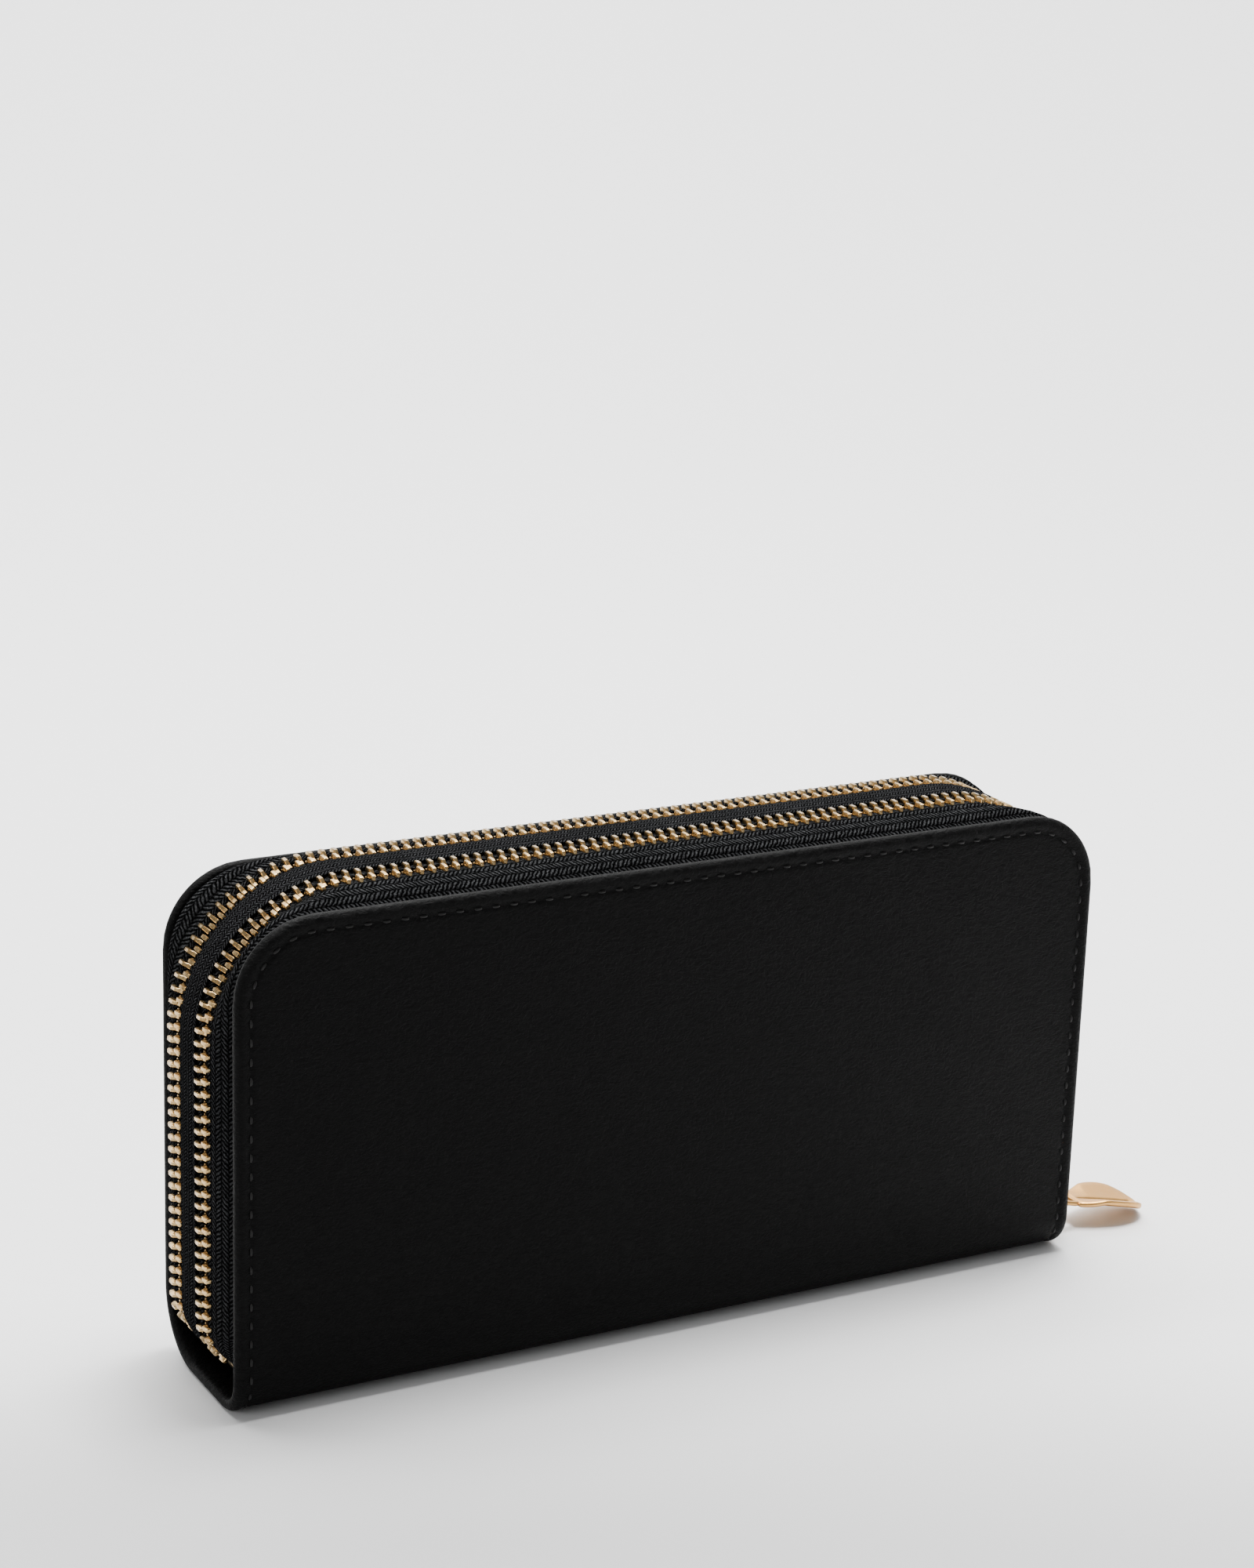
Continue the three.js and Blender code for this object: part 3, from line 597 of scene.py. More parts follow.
def material(name):
    """The finish of that name, made the first time it is asked for."""
    made = bpy.data.materials.get(name)
    if made:
        return made
    sizes = bpy.context.scene.wallet_sizes
    colours = bpy.context.scene.wallet_colours
    recipes = {
        # colour, size, crease, bump
        "black_leather": (leather_material, colours.leather, sizes.leather_grain, 0.5, 0.00012),
        "pocket_leather": (leather_material, colours.inner_leather, 0.0005, 0.3, 0.00004),
        # colour, thread, rib, slant, bump, painted highlight on the thread tops
        "woven_tape": (woven_material, colours.tape, 0.00095, sizes.tape_rib, 1.4, 0.00060, 8.5),
        "band_tape": (woven_material, colours.tape, 0.0007, 0.0012, 1.3, 0.00040, 7.5),
        "woven_lining": (woven_material, colours.lining, 0.0005, 0.02, 18.0, 0.00004, 1.9),
        # colour, rough, deep
        "gold_plate": (metal_material, colours.gold, 0.24, 0.55),
        "pull_plate": (metal_material, colours.pull, 0.36, 0.2),
        "black_thread": (thread_material, colours.thread),
        "paper_board": (board_material,),
        "studio_paper": (stage_material, colours.floor),
    }
    recipe, *values = recipes[name]
    return recipe(name, *values)


def dress(piece, finish, body=None, across=None, replaces=()):
    """Gives a piece its material, and its body when across is not given.

    across is given for a piece that lies between two bodies: (body, body, start, end), with the points
    in millimetres. Only whether it is given is used: such a piece is left in place with no body, and it
    is not made to bend.
    """
    piece.data.materials.clear()
    piece.data.materials.append(material(finish))
    if across:
        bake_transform(piece)
    else:
        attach(piece, body)
    if replaces:
        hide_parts(*replaces)
    return piece


# The rail that both zips follow: up the left end, round the top and down the right end


def clear_y(side, z, depth):
    """Half the clear width inside the covers at height z, at a depth below their outside."""
    bend = BEND[side]
    if z >= bend:
        return FACE - depth
    r = bend - depth
    return FACE - bend + math.sqrt(max(r * r - (bend - z) ** 2, 0))


def stations():
    """Places along the rail, close together at the turns."""
    curls = [1, 0.9, 0.8, 0.7, 0.6, 0.5, 0.4, 0.3, 0.2, 0.1, 0]
    top = COVER_TOP + CHAIN_TOP - CHAIN_R
    out = [("curl", -1, t) for t in curls]
    out += [("straight", -1, z) for z in np.linspace(CURL_Z, top, 28)[1:-1]]
    out += [("corner", -1, t) for t in np.linspace(0, 1, 25)]
    out += [("top", 0, t) for t in np.linspace(-1, 1, 62)[1:-1]]
    out += [("corner", 1, t) for t in np.linspace(1, 0, 25)]
    return out + [("straight", 1, z) for z in np.linspace(top, RIGHT_FOOT_Z, 34)[1:]]


def rail_point(side, top, r, curl, station):
    """X and Z, at a station, of a line that follows the rail.

    side and top are its offsets outside the cover's end and top edge, and r is its corner radius.
    curl is 1 for a line that curls in with the chain at the left foot, and 0 for one that
    hangs straight.
    """
    at, end, turn = station
    x = HALF + side
    if at == "top":
        return turn * (x - r), COVER_TOP + top
    if at == "straight":
        return end * x, turn
    angle = turn * math.pi / 2
    if at == "corner":
        return end * (x - r + r * math.cos(angle)), COVER_TOP + top - r + r * math.sin(angle)
    # The curl's radius grows with the distance outside the chain, down to a smallest one.
    rr = max(CURL + side - CHAIN_SIDE, 0.6)
    curled = (CHAIN_X - CURL + rr * math.cos(angle), CURL_Z - rr * math.sin(angle))
    hanging = (x, CURL_Z + turn * (SEWN_FOOT_Z - CURL_Z))
    mix = [c * curl + h * (1 - curl) for c, h in zip(curled, hanging)]
    return end * mix[0], mix[1]


def beside(offset, y):
    """A point of a section at a fixed distance from the chain: side, top, corner radius, curl, y."""
    return (CHAIN_SIDE + offset, CHAIN_TOP + offset, CHAIN_R + offset, 1.0, y)


def thread_distance(side, top, r, station):
    """Distance along the tape, alike across it on the straights, so that the weave stays square."""
    at, end, turn = station
    corner_z = COVER_TOP + CHAIN_TOP - CHAIN_R
    middle = corner_z + CHAIN_R * math.pi / 2 + CHAIN_X - CHAIN_R
    if at == "top":
        return middle + rail_point(side, top, r, 1.0, station)[0]
    if at == "curl":
        u = CURL_Z - turn * CURL * math.pi / 2
    elif at == "straight":
        u = turn
    else:
        low, high = COVER_TOP + top - r, middle - (HALF + side - r)
        u = low + (high - low) * turn
    return u if end < 0 else 2 * middle - u


def rail_band(name, side, section, thickness, smoothing=3):
    """A tape along the rail whose section runs through the given points."""
    places = stations()
    section = np.array(section, float)
    length = distances(section[:, [0, 4]])
    steps = edge_spaced(length[-1], 0.75)
    section = np.stack([np.interp(steps, length, section[:, k]) for k in range(5)], axis=-1)
    for _ in range(smoothing):
        section[2:-2] = (section[1:-3] + section[2:-2] * 2 + section[3:-1]) / 4
    middle = np.zeros((len(places), len(steps), 3))
    uv = np.zeros((len(places), len(steps), 2))
    for i, s in enumerate(places):
        for k, (a, b, r, curl, y) in enumerate(section):
            x, z = rail_point(a, b, r, curl, s)
            middle[i, k] = (x, side * min(y, clear_y(side, z, LINING_IN) - TAPE), z)
            uv[i, k] = (thread_distance(a, b, r, s) * MM, steps[k] * MM)
    return sheet(name, middle, thickness, uv)


def rail_frames(start_at, end_at, pitch, y, outwards):
    """Placings along the chain, with a unit's Y pointing away from the zip's middle."""
    line = np.array([rail_point(CHAIN_SIDE, CHAIN_TOP, CHAIN_R, 1.0, s) for s in stations()])
    length = distances(line)
    out = []
    for s in np.arange(start_at, length[-1] - end_at, pitch):
        x, z = (np.interp(s, length, line[:, k]) for k in (0, 1))
        ahead = np.array([np.interp(s + 0.4, length, line[:, k]) for k in (0, 1)])
        behind = np.array([np.interp(s - 0.4, length, line[:, k]) for k in (0, 1)])
        t = (ahead - behind) / np.linalg.norm(ahead - behind)
        tangent, outer = np.array([t[0], 0, t[1]]), np.array([-t[1], 0, t[0]])
        out.append(frame_matrix((x, y, z), tangent * outwards, (0, outwards, 0), outer))
    return out


# Leather skin

EDGE_BEAD_IN = 1.6
SKIN_EDGE = [
    0, 0.12, 0.35, 0.7, 1.1, 1.6, 2.1, 2.5, 2.85,
    3.2, 3.55, 3.95, 4.5, 5.3, 6.7, 7.3, 9.5, 12.5, COVER_R,
]
STITCH_SUNK = 0.15
STITCH_SHARE = 0.45  # length of a stitch as a share of the pitch


def hump(distance, height, width):
    """A smooth ridge: its height at a distance from its middle line."""
    return height * math.exp(-((distance / width) ** 2))


def spine_flat(side):
    """Width of the flat under the spine, from the split line to where the bend starts."""
    return side * (side * (FACE - BEND[side]) - SPLIT_Y)


def skin_profile(side, t, depth):
    """Y and Z at distance t from the split line of the spine, and at a depth below the outside."""
    bend = BEND[side]
    centre = side * (FACE - bend)
    flat = spine_flat(side)
    turn = bend * math.pi / 2
    if t < flat:
        return SPLIT_Y + side * t, depth
    if t < flat + turn:
        angle = (t - flat) / bend
        return centre + side * (bend - depth) * math.sin(angle), bend - (bend - depth) * math.cos(angle)
    return side * (FACE - depth), bend + t - flat - turn


def skin_height(side):
    """Length of the skin from the split line to its top edge."""
    bend = BEND[side]
    return spine_flat(side) + bend * math.pi / 2 + COVER_TOP - bend


def round_corner(a, b, r):
    """Distances from the end and top edges, moved so that the square corner becomes a quarter circle."""
    if a >= r or b >= r:
        return a, b
    near, far = min(a, b), max(a, b)
    angle = math.radians(45) * (1 - (far - near) / max(r - near, 1e-6))
    first = r - (r - near) * math.cos(angle)
    second = r - (r - near) * math.sin(angle)
    return (first, second) if a <= b else (second, first)


def cover_grid(side, edge, inset, across_step):
    """Points of a grid that fits a cover inside an inset: rows of (x, t, distance from the edge)."""
    radius = max(COVER_R - inset, 1.0)
    edge = [e for e in edge if e < radius] + [radius]
    width, height = 2 * (HALF - inset), skin_height(side) - inset
    middle = np.linspace(radius, width - radius, int((width - 2 * radius) / across_step))[1:-1]
    columns = np.concatenate([edge, middle, width - np.array(edge[::-1])])
    bent = spine_flat(side) + BEND[side] * math.pi / 2 + 1
    low = [0, 0.06] + list(np.linspace(0.8, bent, int(bent / 0.9)))
    low += list(np.linspace(bent, height - radius, int((height - radius - bent) / 3.0)))[1:]
    rows = np.concatenate([low, height - np.array(edge[:-1][::-1])])
    grid = np.zeros((len(rows), len(columns), 3))
    for i, t in enumerate(rows):
        for k, c in enumerate(columns):
            end = -1 if c < width / 2 else 1
            a = min(c, width - c)
            b = height - t
            ax, bx = round_corner(a, b, radius)
            grid[i, k] = (end * (width / 2 - ax), height - bx, min(a, b))
    return grid


def skin(side, inset_seam):
    """Half of the skin, with a rolled edge, a raised bead inside it and a valley under the stitches."""
    grid = cover_grid(side, SKIN_EDGE, 0.0, 4.5)
    half_rim = RIM / 2
    outer = np.zeros(grid.shape)
    inner = np.zeros(grid.shape)
    for i in range(grid.shape[0]):
        for k in range(grid.shape[1]):
            x, t, d = grid[i, k]
            roll = half_rim - math.sqrt(max(half_rim**2 - max(half_rim - d, 0) ** 2, 0))
            bead = hump(d - EDGE_BEAD_IN, 0.24, 0.8)
            valley = hump(d - inset_seam, 0.20, 0.45)
            out = roll + (valley - bead) * min(d / 0.7, 1)
            under = RIM - roll if d < TURN_WIDTH else LEATHER
            if i == 0:
                out = under = LEATHER / 2
            outer[i, k] = (x, *skin_profile(side, t, out))
            inner[i, k] = (x, *skin_profile(side, t, under))
    return shell(COVER_WORD[side] + "_skin", outer, inner, angle=60)


def across_bend(side):
    """How leather bends as a cover opens: from where the bend starts, under the spine, to its top."""
    bend = BEND[side]
    return ("spine", COVER_BODY[side], (0, side * (FACE - bend), 0), (0, side * FACE, bend))


def seam_frames(side, inset, pitch):
    """Placings of stitches along the cover's edge, at an inset."""
    depth = STITCH_SUNK
    height = skin_height(side) - inset
    x = HALF - inset
    r = COVER_R - inset
    arc = [(x - r + r * math.cos(a), height - r + r * math.sin(a))
           for a in np.linspace(0, math.pi / 2, 24)]
    right = [(x, 0.0)] + arc
    line = np.array(right + [(-px, pz) for px, pz in right[::-1]])
    total = line_length(line)
    count = int(total / pitch)
    out = []
    for n in range(count):
        s = (n + 0.5) * total / count
        (x0, t0), (x1, t1), (xm, tm) = along(line, [s - 0.5, s + 0.5, s])
        point = np.array([xm, *skin_profile(side, tm, depth)])
        before = np.array([x0, *skin_profile(side, t0, depth)])
        ahead = np.array([x1, *skin_profile(side, t1, depth)]) - before
        ahead /= np.linalg.norm(ahead)
        normal = point - np.array([xm, *skin_profile(side, tm, depth + 1)])
        normal /= np.linalg.norm(normal)
        out.append(frame_matrix(point, ahead, np.cross(normal, ahead), normal))
    return out


def stitch_unit(length, width):
    """One stitch: a short spindle whose ends dip into the leather."""
    bpy.ops.object.select_all(action="DESELECT")
    bpy.ops.mesh.primitive_uv_sphere_add(segments=6, ring_count=6, radius=0.5)
    piece = named("stitch")
    for v in piece.data.vertices:
        along_it, across, up = v.co.z * 2, v.co.x * 2, v.co.y * 2
        full = math.sqrt(max(1 - along_it**2, 0.0))
        fuller = full**0.55 / max(full, 1e-4) if full > 1e-3 else 0.0
        v.co = Vector((
            along_it * length / 2,
            across * fuller * width / 2,
            (up * fuller * 0.42 + 0.16 * math.cos(along_it * 1.4) - 0.22 * along_it**4) * width,
        ))
    close_up(piece)
    for polygon in piece.data.polygons:
        polygon.use_smooth = True
    return piece


class WALLET_OT_skin(bpy.types.Operator):
    """Make the leather skin: front and back halves with a rolled, stitched edge"""
    bl_idname = "wallet.skin"
    bl_label = "Leather Skin"

    def execute(self, context):
        inset = context.scene.wallet_sizes.stitch_inset / MM
        skins = ((-1, ("front_cover_leather", "spine_leather")), (1, ("back_cover_leather",)))
        for side, nodes in skins:
            piece = skin(side, inset)
            dress(piece, "black_leather", across=across_bend(side), replaces=nodes)
        return {"FINISHED"}


class WALLET_OT_stitching(bpy.types.Operator):
    """Sew the line of stitching round the edge of each cover and down the ends of the spine"""
    bl_idname = "wallet.stitching"
    bl_label = "Edge Stitching"

    def execute(self, context):
        sizes = context.scene.wallet_sizes
        unit = stitch_unit(sizes.stitch_pitch * STITCH_SHARE, sizes.thread_width)
        for side in (-1, 1):
            places = seam_frames(side, sizes.stitch_inset / MM, sizes.stitch_pitch / MM)
            piece = copies(COVER_WORD[side] + "_edge_stitching", unit, places)
            dress(piece, "black_thread", across=across_bend(side))
        drop(unit)
        return {"FINISHED"}


# Inside of the covers


def lining_sheet(side):
    """The lining of a cover and of its half of the spine, inside the turned edge."""
    edge = [0, 0.1, 0.5, 2, 5, COVER_R]
    grid = cover_grid(side, edge, LINING_INSET, 5.0)
    middle = np.zeros(grid.shape)
    for i in range(grid.shape[0]):
        for k in range(grid.shape[1]):
            x, t, _ = grid[i, k]
            middle[i, k] = (x, *skin_profile(side, t, LINING_IN + LINING / 2))
    return sheet(COVER_WORD[side] + "_lining", middle, LINING, plain_uv(grid))


def leather_panel(name, x, y, z, hem=True, middle_seam=False):
    """A flat pocket panel between pairs of limits, with rounded top corners, a hem and a middle seam."""
    width, height, radius = x[1] - x[0], z[1] - z[0], POCKET_CORNER
    edge = [0, 0.08, 0.25, 0.6, 1.1, 1.5, 1.9, radius]
    columns = edge + list(np.linspace(radius, width - radius, 44)[1:-1])
    columns += list(width - np.array(edge[::-1]))
    if middle_seam:
        columns = sorted(columns + [width / 2 + d for d in (-1.2, -0.7, -0.35, 0, 0.35, 0.7, 1.2)])
    rows = [0, 0.08, 0.25] + list(np.linspace(1.5, height - radius, 14))
    rows += list(height - np.array(edge[:-1][::-1]))
    points = np.zeros((len(rows), len(columns), 3))
    depth = np.zeros((len(rows), len(columns)))
    mid_y = (y[0] + y[1]) / 2
    for i, t in enumerate(rows):
        for k, c in enumerate(columns):
            a, b = min(c, width - c), height - t
            ax, bx = round_corner(a, b, radius)
            px = x[0] + ax if c < width / 2 else x[1] - ax
            points[i, k] = (px, mid_y, z[0] + height - bx)
            d = min(a, b, t)
            groove = hump(b - POCKET_STITCH_IN, 0.30, 0.35) if hem else 0.0
            groove += hump(c - width / 2, 0.35, 0.4) if middle_seam else 0.0
            depth[i, k] = CARD_SLOT * min(1.0, 0.55 + d * 1.8) - groove
    return sheet(name, points, depth, angle=50)


def panel_stitches(name, unit, x, y, z, side, middle_seam=False):
    """Stitches along a panel's top edge, and up its middle seam, on its face at y."""
    inset, pitch = POCKET_STITCH_IN, POCKET_STITCH_PITCH
    middle = (x[0] + x[1]) / 2
    seams = [((x[0] + inset, y, z[1] - inset), (x[1] - inset, y, z[1] - inset))]
    if middle_seam:
        seams.append(((middle, y, z[0] + 1), (middle, y, z[1] - 3)))
    outwards = np.array([0.0, -side, 0.0])
    spots = []
    for seam in seams:
        first, last = np.array(seam, float)
        total = np.linalg.norm(last - first)
        ahead = (last - first) / total
        for n in range(int(total / pitch)):
            point = first + ahead * (n + 0.5) * pitch
            spots.append(frame_matrix(point, ahead, np.cross(outwards, ahead), outwards))
    return copies(name, unit, spots)


class WALLET_OT_linings(bpy.types.Operator):
    """Line the covers and spine, and give the stiffening boards their paper"""
    bl_idname = "wallet.linings"
    bl_label = "Boards and Linings"

    def execute(self, context):
        for side, nodes in ((-1, ("front_cover_lining", "spine_lining")), (1, ("back_cover_lining",))):
            piece = lining_sheet(side)
            dress(piece, "woven_lining", across=across_bend(side), replaces=nodes)
        for node in ("front_cover_board", "back_cover_board", "spine_board", "divider_board"):
            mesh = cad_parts[node].data
            mesh.materials.clear()
            mesh.materials.append(material("paper_board"))
        return {"FINISHED"}


class WALLET_OT_card_slots(bpy.types.Operator):
    """Sew the stepped card slots into both covers"""
    bl_idname = "wallet.card_slots"
    bl_label = "Card Slots"

    def execute(self, context):
        unit = stitch_unit(*POCKET_STITCH)
        for side, count in ((-1, 4), (1, 3)):
            body = COVER_BODY[side]
            for i in range(count):
                near = side * (FACE - SLOTS_IN - i * (CARD_SLOT + GAP))
                x = (-CARD_HALF, CARD_HALF)
                y = (near, near - side * CARD_SLOT)
                z = (BEND[side] + 3, SLOT_TOP - i * CARD_STEP)
                name = f"{COVER_WORD[side]}_card_slot_{i + 1}"
                panel = leather_panel(name + "_panel", x, y, z, middle_seam=True)
                dress(panel, "pocket_leather", body, replaces=(name,))
                face = y[1] + side * POCKET_STITCH_SUNK
                top_one = i == count - 1
                seam = panel_stitches(name + "_stitches", unit, x, face, z, side, top_one)
                dress(seam, "black_thread", body)
        drop(unit)
        return {"FINISHED"}


# Zips

TAPE_FROM_MIDDLE = 1.15
BAND_HALF = ((0.95, 0), (0.86, 1.7), (0.74, 3.0), (0.55, 3.75))  # rise above the chain, and y
FIRST_TOOTH = 0.9
# One tooth from its head to its foot: y, half width, half height and rise above the zip's middle plane
TOOTH_RINGS = (
    (-0.64, 0.12, 0.16, -0.30), (-0.52, 0.40, 0.36, -0.26), (-0.05, 0.47, 0.46, -0.20),
    (0.42, 0.45, 0.50, -0.16), (0.66, 0.41, 0.84, 0.04), (0.95, 0.43, 1.16, 0.10),
    (2.55, 0.45, 1.18, 0.08), (2.88, 0.43, 1.08, 0.00), (3.02, 0.34, 0.86, -0.08),
)
TOOTH_SIDES = 8
STOP_BEVEL = 0.35


def tape_sections():
    """The outer tape, from its sewn flange to the teeth, and the inner tape, from the divider."""
    flange_y = FACE - LINING_IN - TAPE / 2
    bead = ZIP_Y + ROW_OUT + GAP
    run = flange_y - bead
    outer = [
        (-TURN_WIDTH, -TURN_WIDTH, COVER_R - TURN_WIDTH, 0, flange_y),
        (-1, -1, COVER_R - 1, 0, flange_y),
        (0.3, 0.54, COVER_R + 2.5, 0.3, bead + run * 0.7),
        (0.9, 1.44, COVER_R + 8.5, 0.7, bead + run * 0.35),
        beside(0, bead),
        beside(0, ZIP_Y + TAPE_FROM_MIDDLE),
    ]
    inner = [
        beside(-8.5, 1.05), beside(-1.2, 1.05), beside(-0.25, 2.375), beside(0, 3.7),
        beside(0, ZIP_Y - TAPE_FROM_MIDDLE),
    ]
    return outer, inner


class WALLET_OT_zip_tapes(bpy.types.Operator):
    """Weave the four zip tapes and the band between the two zips"""
    bl_idname = "wallet.zip_tapes"
    bl_label = "Zip Tapes"

    def execute(self, context):
        outer, inner = tape_sections()
        for side in (-1, 1):
            zip_word = ZIP_WORD[side]
            tapes = (("outer_tape", outer, COVER_BODY[side]), ("inner_tape", inner, "spine"))
            for word, section, body in tapes:
                piece = rail_band(f"{zip_word}_{word}", side, section, TAPE)
                dress(piece, "woven_tape", body, replaces=(f"{zip_word}_zip_{word}",))
        crown = [beside(rise, -y) for rise, y in BAND_HALF[:0:-1]]
        crown += [beside(rise, y) for rise, y in BAND_HALF]
        piece = rail_band("zip_band", 1, crown, TAPE + 0.1, smoothing=1)
        dress(piece, "band_tape", "spine", replaces=("middle_band",))
        return {"FINISHED"}


def tooth_unit(scale=1.0):
    """One tooth: X along the chain, Y out to the tape, Z out of the zip."""
    spans = len(TOOTH_RINGS) - 1
    bpy.ops.object.select_all(action="DESELECT")
    bpy.ops.mesh.primitive_cylinder_add(vertices=TOOTH_SIDES, radius=1, depth=2, end_fill_type="NGON")
    piece = named("tooth")
    bpy.ops.object.mode_set(mode="EDIT")
    for n in range(1, spans):
        bpy.ops.mesh.select_all(action="SELECT")
        bpy.ops.mesh.bisect(plane_co=(0, 0, -1 + 2 * n / spans), plane_no=(0, 0, 1))
    bpy.ops.object.mode_set(mode="OBJECT")
    for v in piece.data.vertices:
        y, half_width, half_height, up = TOOTH_RINGS[int(round((v.co.z + 1) / 2 * spans))]
        angle = math.atan2(v.co.y, v.co.x) + math.pi / TOOTH_SIDES
        c, s = math.cos(angle), math.sin(angle)
        # A ring is a box with rounded corners.
        c, s = (1.03 * math.copysign(abs(q) ** 0.42, q) for q in (c, s))
        v.co = Vector((c * half_width, y, up + s * half_height)) * (MM * scale)
    close_up(piece)
    smooth(piece, 35)
    return piece


class WALLET_OT_zip_teeth(bpy.types.Operator):
    """Set the four rows of teeth along the tapes, each tooth between two of the row that faces it"""
    bl_idname = "wallet.zip_teeth"
    bl_label = "Zip Teeth"

    def execute(self, context):
        pitch = context.scene.wallet_sizes.tooth_pitch / MM
        unit = tooth_unit()
        for side in (-1, 1):
            for row, outwards in (("outer", side), ("inner", -side)):
                first = FIRST_TOOTH if row == "outer" else FIRST_TOOTH + pitch / 2
                last = ROW_END_Z - RIGHT_FOOT_Z
                spots = rail_frames(first, last, pitch, side * ZIP_Y, outwards)
                piece = copies(f"{ZIP_WORD[side]}_{row}_teeth", unit, spots)
                body = COVER_BODY[side] if row == "outer" else "spine"
                node = f"{ZIP_WORD[side]}_zip_{row}_teeth"
                dress(piece, "gold_plate", body, replaces=(node,))
        drop(unit)
        return {"FINISHED"}


def staple(name, node):
    """A zip stop: a rounded metal staple with a pinched waist, in place of a CAD node."""
    low, high = (np.array(p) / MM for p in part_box(node))
    piece = block(name, low, high, STOP_BEVEL)
    centre = (low + high) / 2 * MM
    for v in piece.data.vertices:
        reach = abs(v.co.z - centre[2]) / max((high[2] - low[2]) / 2 * MM, 1e-9)
        v.co.x = centre[0] + (v.co.x - centre[0]) * (0.86 + 0.14 * reach)
    return piece


class WALLET_OT_zip_stops(bpy.types.Operator):
    """Clamp the top and bottom stops on the tapes"""
    bl_idname = "wallet.zip_stops"
    bl_label = "Zip Stops"

    def execute(self, context):
        for side in (-1, 1):
            bodies = {"outer_stop": COVER_BODY[side], "inner_stop": "spine", "bottom_stop": "spine"}
            for kind, body in bodies.items():
                node = f"{ZIP_WORD[side]}_zip_{kind}"
                piece = staple(f"{ZIP_WORD[side]}_{kind}", node)
                dress(piece, "gold_plate", body, replaces=(node,))
        return {"FINISHED"}


# Sliders and pulls. In their own frame X is out of the zip, Y across it and -Z towards the pull's end.

SLIDER_LENGTH = 12.0
SLIDER_HALF = 4.9
PLATE = 1.05
PIVOT_DOWN = 3.7
POST_HALF = 0.28
POST_STUBS = ((-2.0, -0.85), (0.45, 2.0))  # whole teeth pass between the two
BRIDGE_LINE = [
    (2.35, 0, -5.0), (4.6, 0, -5.0), (4.95, 0, -3.0), (4.95, 0, 2.4), (4.5, 0, 4.1), (2.35, 0, 4.1),
]
LEAF_START = 5.0
LEAF_END = 24.0
LEAF_ROUND = 5.0  # length of the leaf's rounded tip
LEAF_CURVES = (((3.1, 5.0), (6.5, 10.3), (6.5, 15.84)), ((6.5, 15.84), (6.5, 22.2), (0, 24)))
TIP_REST = 0.95  # height of the near pull's tip above the table
EYE_LOOP = [(0, 0.0), (2.4, 0.0), (2.4, -5.1), (-2.4, -5.1), (-2.4, 0.0), (0, 0.0)]
EYE_HALF = (0.62, 0.55)  # half the eye wire's width in its plane and across it
EYE_RING = 0.25


def share(value, low, span):
    """How far a value is past low, as a share of span, from 0 to 1."""
    return min(1, max(0, (value - low) / span))


def slider_place(name):
    """A slider's placing at rest, and how far its pull is lifted from hanging straight down."""
    if name == "coin":
        origin = (COIN_HALF - 4 - SLIDER_LENGTH / 2 * COIN_SCALE, COIN_ZIP_Y, COIN_ZIP_Z)
        turn = Matrix(((0, 0, 1), (1, 0, 0), (0, 1, 0))).to_4x4()
        return Matrix.Translation(Vector(origin) * MM) @ turn @ Matrix.Scale(COIN_SCALE, 4), 0.0
    if name == "near":
        droop = math.asin((SLIDER_REST - PIVOT_DOWN - TIP_REST) / LEAF_END)
        return Matrix.Translation(Vector((CHAIN_X, -ZIP_Y, SLIDER_REST)) * MM), math.pi / 2 - droop
    return Matrix.Translation(Vector((CHAIN_X, ZIP_Y, SLIDER_REST + FAR_SLIDER_UP)) * MM), 0.0


def slider_plate(name, out):
    """A plate of the slider: a shield, wide where the rows come in, with a domed outer face."""
    middle = SLIDER_LENGTH / 2
    length = edge_spaced(SLIDER_LENGTH, 0.7, (0, 0.1, 0.35)) - middle
    across = np.concatenate([[-1, -0.985, -0.93], np.linspace(-0.82, 0.82, 11), [0.93, 0.985, 1]])
    outer = np.zeros((len(length), len(across), 3))
    inner = np.zeros(outer.shape)
    for i, z in enumerate(length):
        end = min(z + middle, middle - z)
        half = SLIDER_HALF - 1.2 * max(0.0, -z - 1.5) / 4.5 - max(0.0, 1.6 - end) ** 2 * 0.75
        half -= hump(z + 1.2, 0.45, 1.6)
        for k, q in enumerate(across):
            edge = min(half * (1 - abs(q)), end)
            roll = 0.42 * max(0.0, 1 - edge / 0.45) ** 2
            dome = 0.14 * (q * q) + 0.12 * (z / middle) ** 2
            outer_x, inner_x = CROWN - dome - roll, CROWN - PLATE + roll * 0.5
            if i in (0, len(length) - 1) or k in (0, len(across) - 1):
                outer_x = inner_x = CROWN - 0.52
            outer[i, k] = (out * outer_x, half * q, z)
            inner[i, k] = (out * inner_x, half * q, z)
    return shell(name, outer, inner, angle=50)


def slider_body(name):
    crown = slider_plate(name, 1)
    base = slider_plate(name + "_base", -1)
    posts = [
        block(f"{name}_post_{n}", (low, -POST_HALF, -5.7), (high, POST_HALF, -3.4), 0.1, 2)
        for n, (low, high) in enumerate(POST_STUBS)
    ]
    return join(name, crown, base, *posts)


def leaf_outline():
    """Half widths and distances from the pivot along the leaf's edge."""
    t = np.linspace(0, 1, 40)[:, None]
    curves = []
    for points in LEAF_CURVES:
        first, bulge, last = np.array(points, float)
        curves.append((1 - t) ** 2 * first + 2 * t * (1 - t) * bulge + t**2 * last)
    return np.concatenate(curves)


